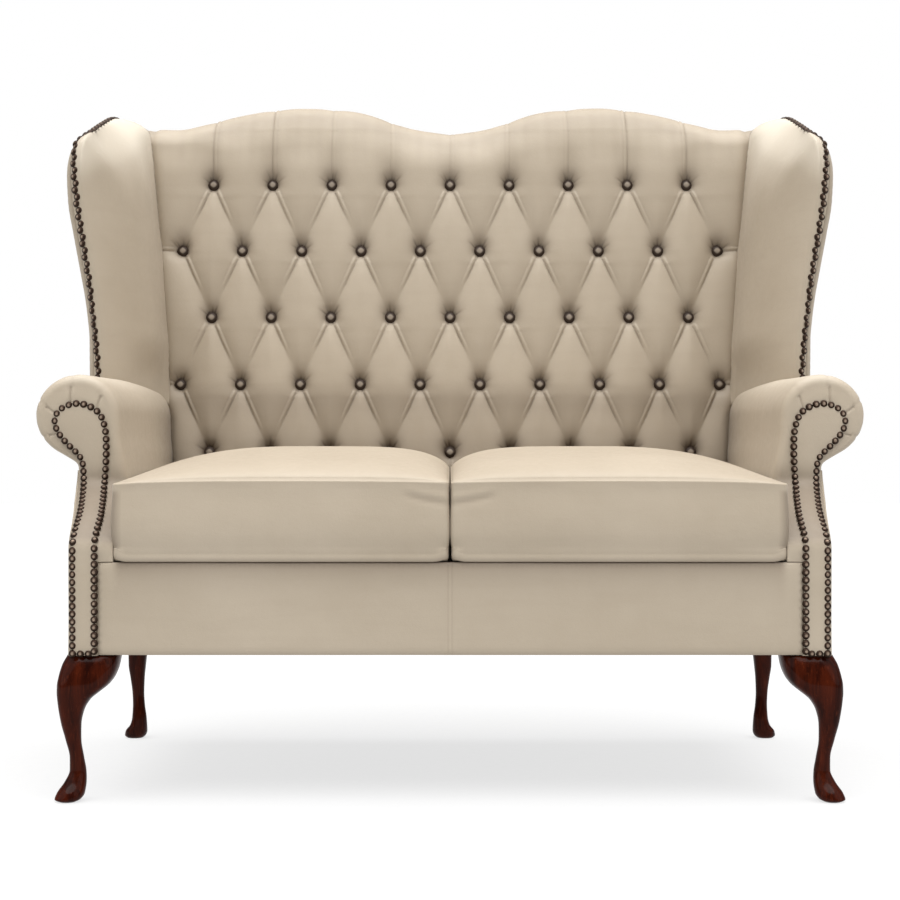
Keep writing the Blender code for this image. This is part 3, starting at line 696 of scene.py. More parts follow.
def make_back():
    top = lambda x: crest(x) - roll_front(x)[0] + roll_front(x)[1] + LEN_B + BACK_TAIL
    ws = even(np.array([[0.0, BACK_BOTTOM], [0.0, float(top(0.56))]]), 0.0045)[:, 1]
    right = np.stack([back_side(ws), ws], 1)
    x1 = right[-1, 0]
    tops = np.arange(x1 - 0.0045, -x1 + 0.002, -0.0045)
    upper = np.stack([tops, top(tops)], 1)
    left = right[::-1] * (-1, 1)
    xb = back_side(np.array([BACK_BOTTOM]))[0]
    foot = np.arange(-xb + 0.0045, xb - 0.002, 0.0045)
    lower = np.stack([foot, np.full(len(foot), BACK_BOTTOM)], 1)
    outline = np.concatenate([right, upper, left, lower])
    pts = []
    offs = np.array([-7.0, -4.4, -2.7, -1.6, -0.8, 0.0, 0.9, 1.8, 2.9, 4.1, 5.4, 6.7, 7.7, 8.6, 10.0, 12.4]) * 0.001
    for p in PLEATS:
        L, d, nrm = pleat_frame(p)
        reach = min(L, L * (p[3] + 0.06) if p[5] == "fold" else L)
        ts = np.arange(0.016, reach, 0.0042)
        T, E = np.meshgrid(ts, offs, indexing="ij")
        T = T + 0.0021 * (np.arange(len(offs)) % 2)[None, :]
        # offsets stay square to the pleat even where its overlapping side leans
        q = (-d[1], d[0]) if (-d[1] * nrm[0] + d[0] * nrm[1]) > 0 else (d[1], -d[0])
        pts.append(np.stack([p[0][0] + T.ravel() * d[0] + E.ravel() * q[0], p[0][1] + T.ravel() * d[1] + E.ravel() * q[1]], 1))
    fine = np.concatenate(pts)
    near_button = np.zeros(len(fine), bool)
    for bx, bz, k in BUTTONS:
        near_button |= np.hypot(fine[:, 0] - bx, fine[:, 1] - bz) < 0.0165
    fine = fine[~near_button]
    rings = []
    for bx, bz, k in BUTTONS:
        for j, r in enumerate((0.0035, 0.0075, 0.0105, 0.0128, 0.0150, 0.0175, 0.0203, 0.0233, 0.0266, 0.0302)):
            a = 2 * np.pi * (np.arange(24) + 0.5 * (j % 2)) / 24
            if j > 1:     # finer over the button, where the hide is gathered
                a = np.r_[np.pi * (np.arange(29) + 0.5 * (j % 2)) / 29, a[a > np.pi] if j < 6 else []]
            rings.append(np.stack([bx + r * np.cos(a), bz + r * np.sin(a)], 1))
        rings.append(np.array([[bx, bz]]))
    rings = np.concatenate(rings)
    loose = hexgrid(-0.62, 0.62, BACK_BOTTOM, 1.50, 0.0054)
    keep = np.ones(len(loose), bool)
    for p in PLEATS:
        L, d, nrm = pleat_frame(p)
        rx, rz = loose[:, 0] - p[0][0], loose[:, 1] - p[0][1]
        t = rx * d[0] + rz * d[1]
        q = (-d[1], d[0]) if (-d[1] * nrm[0] + d[0] * nrm[1]) > 0 else (d[1], -d[0])
        e = rx * q[0] + rz * q[1]
        reach = min(L, L * (p[3] + 0.06) if p[5] == "fold" else L)
        keep &= ~((t > 0.01) & (t < reach) & (e > -0.0095) & (e < 0.0150))
    for bx, bz, k in BUTTONS:
        keep &= np.hypot(loose[:, 0] - bx, loose[:, 1] - bz) > np.where(loose[:, 1] > bz, 0.0330, 0.0205)
    rim_pts = []
    for off in (0.0012, 0.0028, 0.0050):
        rim_pts.append(np.stack([back_side(ws) - off, ws], 1)[2:-2])
        rim_pts.append(np.stack([-(back_side(ws) - off), ws], 1)[2:-2])
    rim_pts = np.concatenate(rim_pts)
    cand = np.concatenate([fine, rings, loose[keep]])
    ok = (np.abs(cand[:, 0]) < back_side(cand[:, 1]) - 0.0070) & (cand[:, 1] > BACK_BOTTOM + 0.002) & (cand[:, 1] < top(cand[:, 0]) - 0.002)
    cand = np.concatenate([cand[ok], rim_pts])
    cand = np.unique(np.round(cand, 6), axis=0)
    uv, tris, where = fill(outline, cand)
    pos, nrm = back_base(uv[:, 0], uv[:, 1])
    h, dark = back_relief(uv[:, 0], uv[:, 1])
    rf, len_f = roll_front(uv[:, 0])
    behind = ease((uv[:, 1] - crest(uv[:, 0]) + rf - len_f - 0.24 * LEN_B) / (0.6 * LEN_B))
    h = h * (1 - behind)
    dark *= 1 - behind
    front = pos + nrm * h[:, None]
    # the lining of the hide, coarse, over the same pattern
    coarse = hexgrid(-0.62, 0.62, BACK_BOTTOM, 1.50, 0.022)
    ok = (np.abs(coarse[:, 0]) < back_side(coarse[:, 1]) - 0.012) & (coarse[:, 1] > BACK_BOTTOM + 0.012) & (coarse[:, 1] < top(coarse[:, 0]) - 0.012)
    uv2, tris2, where2 = fill(outline, coarse[ok])
    pos2, _ = back_base(uv2[:, 0], uv2[:, 1], inner=True)
    n = len(uv)
    verts = np.concatenate([front, pos2])
    faces = [tuple(t) for t in tris] + [tuple(n + i for i in t[::-1]) for t in tris2]
    m = len(outline)
    for k in range(m):
        j = (k + 1) % m
        faces.append((where[k], where[j], n + where2[j], n + where2[k]))
    o = piece("back_leather", verts, faces, HIDE_BACK, attrs={"painted_shade": np.r_[dark, np.zeros(len(pos2))]})
    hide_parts("back_pad")


make_back()


def make_buttons():
    prof = [(0, 4.7), (2.4, 4.6), (4.2, 4.3), (5.4, 3.9), (6.4, 3.3), (7.4, 2.5), (8.6, 1.4), (9.8, 0.1), (10.8, -1.2), (10.6, -2.8), (8.4, -3.8), (2.2, -4.4),
            (2.0, -74.0), (0, -74.0)]
    dome, dome_f = lathe([(r * 1e-3, h * 1e-3) for r, h in prof], 24)
    rad = np.hypot(dome[:, 0], dome[:, 1]) * 1000
    # how far painted shade darkens each button towards its rim, full on the shank
    rim = np.where(dome[:, 2] > -0.02, ease((rad - 3.4) / 3.0), 1.0) * 0.97
    # the cover is drawn to blunt points at the sides and below
    ang = np.arctan2(dome[:, 1], dome[:, 0])
    square = (np.abs(np.cos(ang)) ** 1.6 + np.abs(np.sin(ang)) ** 1.6) ** (-1 / 1.6)
    head = dome[:, 2] > -0.02
    dome[:, 0] *= np.where(head, 1.12 * square, 1.0)
    dome[:, 1] *= np.where(head, 1.04 * square, 1.0)
    for k, z in enumerate(ROWS):
        verts, faces, rims = [], [], []
        xs = [x for x, zz, kk in BUTTONS if kk == k]
        for x in xs:
            base = sum(len(v) for v in verts)
            t = math.atan(BACK_LEAN)
            c, s = math.cos(t), math.sin(t)
            fwd = np.array([0, -c, s])
            up = np.array([0, s, c])
            p = np.array([x, lean(z) + 0.0100, z])
            v = p + dome[:, :1] * np.array([1.0, 0, 0]) + dome[:, 1:2] * up + dome[:, 2:3] * fwd
            verts.append(v)
            rims.append(rim)
            faces += [tuple(base + i for i in f) for f in dome_f]
        base = sum(len(v) for v in verts)
        x0, x1 = xs[0] - 0.012, xs[-1] + 0.012
        y0, y1 = lean(z) + 0.0830, lean(z) + 0.0900
        b = 0.0012
        sec = [(y0, z - 0.007 + b), (y0 + b, z - 0.007), (y1 - b, z - 0.007), (y1, z - 0.007 + b), (y1, z + 0.007 - b), (y1 - b, z + 0.007), (y0 + b, z + 0.007), (y0, z + 0.007 - b)]
        lath = np.array([(x, y, zz) for x in (x0, x1) for y, zz in sec])
        verts.append(lath)
        rims.append(np.full(16, 0.6))
        faces += grid_faces(2, 8, wrap_v=True, base=base) + [tuple(base + i for i in range(8)), tuple(base + 15 - i for i in range(8))]
        o = piece(f"button_row_{k + 1}_covered", np.concatenate(verts), faces, BUTTON, attrs={"rim": np.concatenate(rims)})
        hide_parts(f"button_row_{k + 1}")


make_buttons()

# ------------------------------------------------------------------ wings
NAIL_X = [(0.640, 0.6080), (0.668, 0.6090), (0.69, 0.6100), (0.7137, 0.6119), (0.7404, 0.6143), (0.767, 0.6172), (0.796, 0.6203), (0.8343, 0.6248),
          (0.866, 0.6298), (0.8975, 0.6348), (0.9313, 0.6398), (0.9649, 0.6447), (0.9946, 0.6476), (1.0263, 0.6500), (1.0501, 0.6505), (1.10, 0.6480)]
WING_OUT_X = [(0.620, 0.6262), (0.665, 0.6262), (0.727, 0.6262), (0.761, 0.6290), (0.8026, 0.6345), (0.8286, 0.6392), (0.866, 0.6460), (0.9118, 0.6541),
              (0.9655, 0.6629), (1.021, 0.6655), (1.06, 0.6640), (1.16, 0.6600)]
WING_LINE = [(0.3525, 0.6220), (0.3500, 0.6522), (0.3465, 0.7500), (0.3450, 0.9000), (0.3450, 1.0100), (0.3470, 1.0420), (0.3540, 1.0660), (0.3660, 1.0785),
             (0.3880, 1.0880), (0.4130, 1.0965), (0.4500, 1.1105), (0.5000, 1.1285), (0.5450, 1.1440), (0.5850, 1.1570), (0.6250, 1.1660), (0.6650, 1.1690),
             (0.7050, 1.1655), (0.7480, 1.1540)]
WING_TOP = [(0.3450, 1.0600)] + WING_LINE[6:]
WING_PATH = curve(WING_LINE, 0.005)


def wing_surfaces(y, z):
    """Inner and outer X of a wing before its edge is rounded."""
    t = np.clip((0.66 - y) / (0.66 - 0.345), 0.0, 1.0)
    front_in = table(z, NAIL_X) - 0.0250
    inner = join_x(z) + (front_in - join_x(z)) * (0.35 * t + 0.65 * t ** 3)
    inner = inner - 0.0100 * np.exp(-np.maximum(lean(z) - y, 0.0) / 0.016)      # turns in to the back
    full = np.sin(np.pi * np.clip((y - 0.355) / 0.290, 0.0, 1.0)) ** 1.3
    inner = inner - 0.0135 * full * ease((z - 0.665) / 0.08)
    below = np.maximum(table(y, WING_TOP) - z, 0.0)
    deep = 0.075 + 0.075 * ease((y - 0.36) / 0.12)
    flare = 0.040 * ease((y - 0.340) / 0.11) * (1 - 0.74 * ease((y - 0.53) / 0.09))
    inner = inner + flare * np.maximum(0.0, 1 - below / deep) ** 2               # leans out towards the top
    front_out = table(z, WING_OUT_X) - 0.0010
    outer = front_out + (rear_x(z) + 0.003 - front_out) * ease((y - 0.36) / 0.36)
    return inner, outer


def wing_round(where):
    """Radius of the wing's rounded edge along WING_PATH: broadest over the front of the top."""
    return 0.0300 + 0.038 * ease((where - 0.44) / 0.14) - 0.036 * ease((where - 0.66) / 0.20)


def wing_lines(y, z, where):
    """Inner and outer X of a wing and the X of its edge line."""
    inner, outer = wing_surfaces(y, z)
    thick = outer - inner
    over = np.clip(0.632, inner + 0.2 * thick, outer - 0.2 * thick)
    b = ease((where - 0.47) / 0.11)
    return inner, outer, (inner + 0.34 * thick) * (1 - b) + over * b


POW = 2.0


def make_wings():
    rear = [(float(lean(z)) + 0.1165, z) for z in np.arange(1.1450, 0.6200, -0.008)]
    foot = [(y, 0.6220) for y in np.arange(0.683, 0.356, -0.008)]
    outline = np.concatenate([WING_PATH, np.array(rear), np.array(foot)])
    nrm = -normals2(WING_PATH)          # into the panel
    extra = []
    for j, t in enumerate((0.0004, 0.0013, 0.0028, 0.0050, 0.0080, 0.0120, 0.0170, 0.0230, 0.0300)):
        q = WING_PATH[1:-1] + nrm[1:-1] * t
        d, _ = to_path(q, WING_PATH)
        extra.append(q[d > t * 0.97])
    core = hexgrid(0.34, 0.76, 0.62, 1.18, 0.0090)
    d, _ = to_path(core, WING_PATH)
    extra.append(core[d > 0.034])
    extra = np.concatenate(extra)
    extra = extra[inside(extra, outline)]
    d_other = np.minimum(extra[:, 1] - 0.6220, (lean(extra[:, 1]) + 0.1165) - extra[:, 0])
    extra = np.unique(np.round(extra[d_other > 0.003], 6), axis=0)
    uv, tris, where = fill(outline, extra)
    y, z = uv[:, 0], uv[:, 1]
    d, w = to_path(uv, WING_PATH)
    R = wing_round(w)
    inner, outer, mid = wing_lines(y, z, w)
    inner = inner - 0.0045 * ease(d / 0.06) * ease((0.64 - y) / 0.10)
    inner = inner + 0.0012 * wob(y, z, y, 0.19, 4.0)
    f = np.where(d < R, (1 - np.abs(1 - np.minimum(d / R, 1)) ** POW) ** (1 / POW), 1.0)
    xi, xo = mid - (mid - inner) * f, mid + (outer - mid) * f
    vin, vout = np.stack([xi, y, z], 1), np.stack([xo, y, z], 1)
    rim = [int(i) for i in where]
    verts, faces = sheet_solid(uv, tris, rim, vin, vout)
    # painted shade where the wing meets the back
    back_edge = ease(1 - (lean(z) + 0.012 - y) / 0.010) * 0.35
    dark = np.r_[back_edge, np.zeros(len(uv))]
    below = table(y, WING_TOP) - z
    # painted light: a paler tone laid on the hide over the top of the wing and over the upper rear of its face
    light = 0.62 * (1 - ease((below - 0.012) / (0.060 + 0.050 * ease((y - 0.37) / 0.10)))) * (1 - 0.5 * ease((y - 0.60) / 0.05))
    light = light + 0.36 * ease((y - 0.47) / 0.10) * (1 - ease((below - 0.02) / 0.23)) * (y < lean(z) + 0.01)
    for side, s in SIDES:
        o = piece(f"wing_leather_{side}", mirrored(verts, s), faces, HIDE_WING, attrs={"painted_shade": dark, "pale": np.r_[light, light * 0.6]}, weld=2e-6)
        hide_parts(f"wing_pad_{side}")
    # outside panel, a separate hide laid on the outer face and tucked under the nails
    inset = WING_PATH + nrm * 0.0085
    line = inset[2:-3]
    keep = line[:, 1] > 0.6320
    line = line[keep]
    rear = [(float(lean(q)) + 0.1160, q) for q in np.arange(line[-1, 1] - 0.006, 0.6320, -0.008)]
    foot = [(q, 0.6300) for q in np.arange(rear[-1][0], line[0, 0] + 0.004, -0.008)]
    outline = np.concatenate([line, np.array(rear), np.array(foot)])
    core = hexgrid(0.34, 0.76, 0.62, 1.18, 0.0085)
    core = core[inside(core, outline)]
    dd, _ = to_path(core, np.concatenate([outline, outline[:1]]))
    uv, tris, where = fill(outline, core[dd > 0.004])
    y, z = uv[:, 0], uv[:, 1]
    dd, _ = to_path(uv, np.concatenate([outline, outline[:1]]))
    d, w = to_path(uv, WING_PATH)
    R = wing_round(w)
    inner, outer, mid = wing_lines(y, z, w)
    f = np.where(d < R, (1 - np.abs(1 - np.minimum(d / R, 1)) ** POW) ** (1 / POW), 1.0)
    base = mid + (outer - mid) * f
    puff = 0.0012 + 0.0030 * (1 - np.exp(-dd / 0.020)) + 0.0006 * wob(y, z, y, 0.17, 6.0)
    vin, vout = np.stack([base - 0.0010, y, z], 1), np.stack([base + puff, y, z], 1)
    verts, faces = sheet_solid(uv, tris, [int(i) for i in where], vout, vin)
    # painted shade along the edges, where the panel tucks under the nails
    dark = np.r_[0.30 * np.exp(-dd / 0.003), np.zeros(len(uv))]
    for side, s in SIDES:
        o = piece(f"outside_wing_hide_{side}", mirrored(verts, s), faces, HIDE_WING, attrs={"painted_shade": dark})
        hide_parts(f"outside_wing_{side}")


make_wings()


# ------------------------------------------------------------------ domed nails
NAIL_PROFILE = [(0, 3.5), (1.2, 3.4), (2.1, 3.15), (3.0, 2.7), (4.0, 2.0), (5.0, 1.0), (5.75, 0.0), (5.85, -0.6), (5.0, -0.9), (1.2, -1.0), (0.9, -9.0), (0, -9.6)]
NAIL, NAIL_F = lathe([(r * 1e-3, h * 1e-3) for r, h in NAIL_PROFILE], 14)
# painted shade towards each nail's rim, full on the shank
NAIL_RIM = np.where(NAIL[:, 2] > -0.002, ease((np.hypot(NAIL[:, 0], NAIL[:, 1]) * 1000 - 1.35) / 1.35), 1.0) * 0.97


def nails(name, places, ways, s, nodes, scale=1.0, up_shade=0.0):
    """Nails at places, each standing along its own way; the frame's node they stand for is nodes."""
    verts, faces, rims = [], [], []
    for k, (p, w) in enumerate(zip(places, ways)):
        w = np.asarray(w, float) / np.linalg.norm(w)
        tilt = 0.05 * np.array([math.sin(7.3 * k), math.sin(3.1 * k + 1.0), math.cos(5.7 * k)])
        w = w + tilt
        w /= np.linalg.norm(w)
        a = np.cross(w, (0.31, 0.12, 0.94))
        a /= np.linalg.norm(a)
        b = np.cross(w, a)
        base = len(verts) * len(NAIL)
        size = scale * (1.0 + 0.035 * math.sin(11.7 * k + 0.4))
        verts.append(p + size * (NAIL[:, :1] * a + NAIL[:, 1:2] * b) + NAIL[:, 2:3] * w)
        # painted shade: nails that face upward are darkened by the last argument
        rims.append(np.maximum(NAIL_RIM, up_shade * float(ease(w[2] / 0.8))))
        faces += [tuple(base + i for i in f) for f in NAIL_F]
    o = piece(name, mirrored(np.concatenate(verts), s), faces, BRONZE, attrs={"rim": np.concatenate(rims)})
    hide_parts(*nodes)


def make_wing_nails():
    line = curve(WING_LINE, 0.0005)
    s = np.r_[0.0, np.cumsum(np.linalg.norm(np.diff(line, axis=0), axis=1))]
    out2 = normals2(line)
    start = np.argmax(line[:, 1] > 0.6580)
    stop = np.argmax(line[:, 0] > 0.664)
    n = int((s[stop] - s[start]) / 0.0113)
    places, ways = [], []
    for q in np.linspace(s[start], s[stop], n):
        i = int(np.searchsorted(s, q))
        y, z = line[i]
        w = i / (len(line) - 1)
        R = float(wing_round(np.array(w)))
        inner, outer, mid = (float(v) for v in wing_lines(np.array(y), np.array(z), np.array(w)))
        if z < 1.045 and y < 0.36:
            x = float(table(z, NAIL_X))
        else:
            x = 0.6503 + (0.6345 - 0.6503) * float(ease((y - 0.348) / 0.085))
        half = (outer - mid) if x > mid else (mid - inner)
        xi = min(0.95, abs(x - mid) / half)
        t = R * (1 - (1 - xi ** POW) ** (1 / POW))
        gx = math.copysign(xi ** (POW - 1) / half, x - mid)
        gt = (1 - t / R) ** (POW - 1) / R
        no = out2[i]
        p = np.array([x + 0.0014 * (-1) ** len(places), y - no[0] * t, z - no[1] * t])
        way = np.array([gx, no[0] * gt, no[1] * gt])
        places.append(p)
        ways.append(way)
    for side, sg in SIDES:
        nails(f"wing_nails_{side}", places, ways, sg, [f"wing_nail_trim_{side}"], 1.12)


make_wing_nails()

# ------------------------------------------------------------------ scroll arms
ARM_OUT = [(0.2000, 0.5790), (0.2150, 0.5788), (0.3860, 0.5785), (0.4070, 0.5792), (0.4280, 0.5827), (0.4520, 0.5892), (0.4790, 0.5934), (0.4980, 0.5931),
           (0.5090, 0.5973), (0.5203, 0.6155), (0.5330, 0.6360), (0.5515, 0.6533), (0.5700, 0.6622), (0.5858, 0.6646)]
ARM_IN = [(0.3575, 0.5110), (0.4000, 0.5112), (0.4500, 0.5130), (0.4900, 0.5172), (0.5200, 0.5222), (0.5500, 0.5275), (0.5858, 0.5302)]
LOOP = [(0.5712, 0.2192), (0.5712, 0.3000), (0.5712, 0.3780), (0.5712, 0.3940), (0.5712, 0.4100), (0.5722, 0.4240), (0.5752, 0.4400), (0.5792, 0.4560),
        (0.5820, 0.4700), (0.5836, 0.4880), (0.5842, 0.5000), (0.5862, 0.5120), (0.5920, 0.5225), (0.6010, 0.5312), (0.6095, 0.5398), (0.6175, 0.5488),
        (0.6240, 0.5580), (0.6286, 0.5680), (0.6298, 0.5772), (0.6272, 0.5868), (0.6210, 0.5942), (0.6120, 0.5995), (0.6010, 0.6030), (0.5890, 0.6032),
        (0.5770, 0.6000), (0.5665, 0.5942), (0.5590, 0.5868), (0.5545, 0.5780), (0.5515, 0.5680), (0.5495, 0.5570), (0.5487, 0.5450), (0.5487, 0.5250),
        (0.5497, 0.5000), (0.5506, 0.4880), (0.5502, 0.4700), (0.5476, 0.4560), (0.5437, 0.4400), (0.5402, 0.4240), (0.5390, 0.4100), (0.5388, 0.3940),
        (0.5388, 0.3780), (0.5388, 0.3000), (0.5388, 0.2192)]
ARM_BACK = 0.6405
SCROLL_PLEATS = [((0.6060, 0.6060), (0.6060, 0.6560)), ((0.6300, 0.5880), (0.6600, 0.6100)), ((0.6310, 0.5550), (0.6600, 0.5490)),
                 ((0.5630, 0.5990), (0.5560, 0.6220))]
ROLL_RISE = 0.0135          # the scroll climbs towards the back by this much


def arm_outline(step):
    """The arm's section at the front, from the foot of its outer side round the scroll to the foot of its inner side."""
    zs = [0.2155, 0.26, 0.30, 0.34, 0.386, 0.407, 0.428, 0.452, 0.479, 0.498, 0.509, 0.5203, 0.533, 0.5515, 0.570]
    outer = [(float(table(z, ARM_OUT)), z) for z in zs]
    roll = [(ROLL_X + (ROLL_R + 0.0034 * max(0.0, math.cos(a))) * math.cos(a), ROLL_Z + ROLL_R * math.sin(a)) for a in np.linspace(0, math.pi, 19)]
    inner = [(float(table(z, ARM_IN)), z) for z in (0.57, 0.55, 0.53, 0.51, 0.49, 0.46, 0.43, 0.40, 0.3720, 0.3600)]
    return even(curve(outer + roll + inner), step)


def arm_end(z):
    """Depth of the rear end of the arm, close before the outside back."""
    return np.maximum(ARM_BACK, lean(z) + 0.1135)


def arm_shift(x, y, z, outer):
    """X at depth y of a section point: the scroll toes in, the lower outside runs out to the rear corner."""
    t = np.clip((y - 0.135) / (ARM_BACK - 0.135), 0.0, 1.0)
    roll = ease((z - 0.47) / 0.07)
    low = np.where(outer, (rear_x(z) - 0.0035 - x) * np.clip(y / 0.62, 0, 1), 0.0)
    inn = (0.5118 - x) * t * (1 - roll)
    # the inside turns away in a round before it meets the back
    turn = 0.0050 * ease((z - 0.44) / 0.08) * ease((0.590 - x) / 0.055) * np.clip((y - lean(z) + 0.070) / 0.070, 0.0, 1.0) ** 2
    return x + ROLL_TOE * t * roll + np.where(outer, low, inn) * (1 - roll) + turn


def arm_lift(y, z):
    """Height at depth y of a section point drawn at height z."""
    t = np.clip((y - 0.150) / (ARM_BACK - 0.150), 0.0, 1.0)
    return z + ROLL_RISE * t * ease((z - 0.52) / 0.10)


def neck(z):
    """Painted shade: a darker tone laid on the hide where the front of the arm sweeps back."""
    z = np.asarray(z, float)
    return 0.55 * ease((z - 0.376) / 0.020) * (1 - ease((z - 0.462) / 0.060))


def make_arms():
    top = arm_outline(0.0045)
    step_pts = np.array([(0.5112, 0.3578), (0.5200, 0.3576), (0.5345, 0.3575), (0.5345, 0.33), (0.5345, 0.29), (0.5345, 0.25), (0.5345, 0.2155),
                         (0.5450, 0.2152), (0.5600, 0.2152), (0.5700, 0.2152)])
    line = np.concatenate([top, step_pts])
    n = len(line)
    nr = -normals2(line, closed=True)
    # normals2 is on the left of the way round, which runs up the outside and over: outward is its right side
    outer = line[:, 0] > 0.5560
    high = np.where(outer, ease((line[:, 1] - 0.535) / 0.05), ease((line[:, 1] - 0.40) / 0.06))
    r = np.where(outer, 0.0032, 0.0018) + 0.0060 * ease((line[:, 1] - 0.385) / 0.05) + 0.0068 * high
    gather = np.zeros(n)                # where the pleats of the front run out over the edge
    for a, b in SCROLL_PLEATS:
        a, b = np.array(a), np.array(b)
        far = b + (b - a) / np.linalg.norm(b - a) * 0.012
        d2, _ = to_path(line, np.array([a, far]))
        gather = np.maximum(gather, np.exp(-(d2 / 0.0026) ** 2))
    rows, dark = [], []
    for th in np.radians((0, 12, 25, 38, 52, 66, 80, 90)):
        p = line - nr * (r * (1 - math.sin(th)) + 0.0013 * gather)[:, None]
        y = sweep(line[:, 1]) + r * (1 - math.cos(th))
        rows.append(np.stack([arm_shift(p[:, 0], y, p[:, 1], outer), y, p[:, 1]], 1))
        # painted shade in the pleats running over the edge, and over the swept neck
        dark.append(0.16 * gather * (1 - 0.35 * th) + neck(line[:, 1]) * math.cos(th))
    y_start = sweep(line[:, 1]) + r
    steps = np.linspace(0, 1, 27)[1:] ** 1.15
    steps = np.sort(np.r_[steps[(steps < 0.622) | (steps > 0.838)], np.linspace(0.63, 0.83, 18)])
    for f in steps:
        y = y_start + (arm_end(line[:, 1]) - y_start) * f
        fade = math.exp(-(f / 0.05) ** 2)
        puff = 0.0010 * wob(line[:, 0], y, line[:, 1], 0.21, 1.0) * ease(f / 0.1) * (1 - f) - 0.0010 * gather * fade
        p = line + nr * puff[:, None]
        rows.append(np.stack([arm_shift(p[:, 0], y, p[:, 1], outer), y, arm_lift(y, p[:, 1])], 1))
        # painted shade where the pleats run out
        dark.append(0.08 * gather * fade)
    m = len(rows)
    verts = np.concatenate(rows)
    faces = grid_faces(m, n, wrap_v=True)
    dark = np.concatenate(dark)
    # painted shade at the tucked line where the scroll meets the back, and a gradient of painted shade over the inside
    # towards the back
    to_back = verts[:, 1] - lean(verts[:, 2])
    shaded = 0.50 * ease((to_back + 0.23) / 0.23) ** 1.3 * (1 - ease((verts[:, 2] - 0.585) / 0.060))
    dark += (0.15 * ease((to_back + 0.010) / 0.012) + shaded) * ease((0.560 - verts[:, 0]) / 0.030)
    # front face with its gathered pleats
    rim = rows[0][:, [0, 2]]
    extra = hexgrid(0.50, 0.67, 0.2150, 0.66, 0.0075)
    segs = []
    for (x0, z0), (x1, z1) in SCROLL_PLEATS:
        L = math.hypot(x1 - x0, z1 - z0)
        d = ((x1 - x0) / L, (z1 - z0) / L)
        for t in np.arange(0, L, 0.0030):
            for e in (-0.0050, -0.0030, -0.0016, -0.0006, 0.0006, 0.0016, 0.0030, 0.0050):
                segs.append((x0 + d[0] * t - d[1] * e, z0 + d[1] * t + d[0] * e))
    segs = np.array(segs)
    dist_seg = np.full(len(extra), 1.0)
    for (a, b) in SCROLL_PLEATS:
        dd, _ = to_path(extra, np.array([a, b]))
        dist_seg = np.minimum(dist_seg, dd)
    extra = np.concatenate([extra[dist_seg > 0.007], segs])
    extra = extra[inside(extra, rim)]
    dd, _ = to_path(extra, np.concatenate([rim, rim[:1]]))
    extra = np.unique(np.round(extra[dd > 0.0018], 6), axis=0)
    uv, tris, where = fill(rim, extra)
    x, z = uv[:, 0], uv[:, 1]
    groove = np.zeros(len(uv))
    for (a, b) in SCROLL_PLEATS:
        d2, w2 = to_path(uv, np.array([a, b]))
        groove = np.maximum(groove, np.exp(-(d2 / 0.0018) ** 2))
    edge, _ = to_path(uv, np.concatenate([rim, rim[:1]]))
    y = sweep(z) + 0.0019 * groove - 0.0022 * ease(edge / 0.02)
    face_v = np.stack([x, y, z], 1)
    # painted shade in the pleats' grooves and over the swept neck
    face_dark = 0.18 * groove + neck(z)
    on_rim = {int(where[k]): k for k in range(n)}
    base = len(verts)
    index, extra_v, extra_d = {}, [], []
    for i in range(len(uv)):
        if i in on_rim:
            index[i] = on_rim[i]
        else:
            index[i] = base + len(extra_v)
            extra_v.append(face_v[i])
            extra_d.append(face_dark[i])
    faces += [tuple(index[i] for i in t) for t in tris]
    verts = np.concatenate([verts, np.array(extra_v)])
    dark = np.r_[dark, extra_d]
    # rear end
    back = rows[-1][:, [0, 2]]
    uv, tris, where = fill(back, [])
    back_index = {int(where[k]): (m - 1) * n + k for k in range(n)}
    faces += [tuple(back_index[i] for i in t[::-1]) for t in tris]
    for side, s in SIDES:
        # painted light: the top of the scroll is paler
        o = piece(f"arm_leather_{side}", mirrored(verts, s), faces, HIDE_ARM, attrs={"painted_shade": np.clip(dark, 0, 0.9), "pale": 0.32 * ease((verts[:, 2] - 0.628) / 0.024)})
        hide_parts(f"inside_arm_pad_{side}", f"arm_roll_{side}")

    # facing panel inside the nail line
    loop = curve(LOOP, 0.0040)
    ln = normals2(loop)
    wide = loop - ln * 0.0030            # the loop is drawn anticlockwise, so its outside is on the right
    foot = np.array([(q, 0.2162) for q in np.linspace(wide[-1, 0], wide[0, 0], 9)])
    outline = np.concatenate([wide, foot])
    ring = np.concatenate([outline, outline[:1]])
    core = hexgrid(0.53, 0.64, 0.216, 0.61, 0.0055)
    core = core[inside(core, outline)]
    dd, _ = to_path(core, ring)
    uv, tris, where = fill(outline, core[dd > 0.0028])
    dd, _ = to_path(uv, ring)
    x, z = uv[:, 0], uv[:, 1]
    puff = 0.0030 + 0.0030 * (1 - np.exp(-dd / 0.008)) + 0.0004 * wob(x, z, z, 0.11, 3.0)
    tilt = sweep(z)
    slope = (sweep(z + 0.001) - sweep(z - 0.001)) / 0.002
    k = np.sqrt(1 + slope ** 2)
    vf = np.stack([x, tilt - puff / k, z + puff * slope / k], 1)
    vb = np.stack([x, tilt + 0.0030, z], 1)
    verts, faces = sheet_solid(uv, tris, [int(i) for i in where], vf, vb)
    # painted shade along the nail line and over the swept neck
    dark = np.r_[0.22 * np.exp(-dd / 0.004) + neck(z), np.zeros(len(uv))]
    for side, s in SIDES:
        o = piece(f"arm_facing_leather_{side}", mirrored(verts, s), faces, HIDE_ARM, attrs={"painted_shade": dark})
        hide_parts(f"arm_facing_{side}")

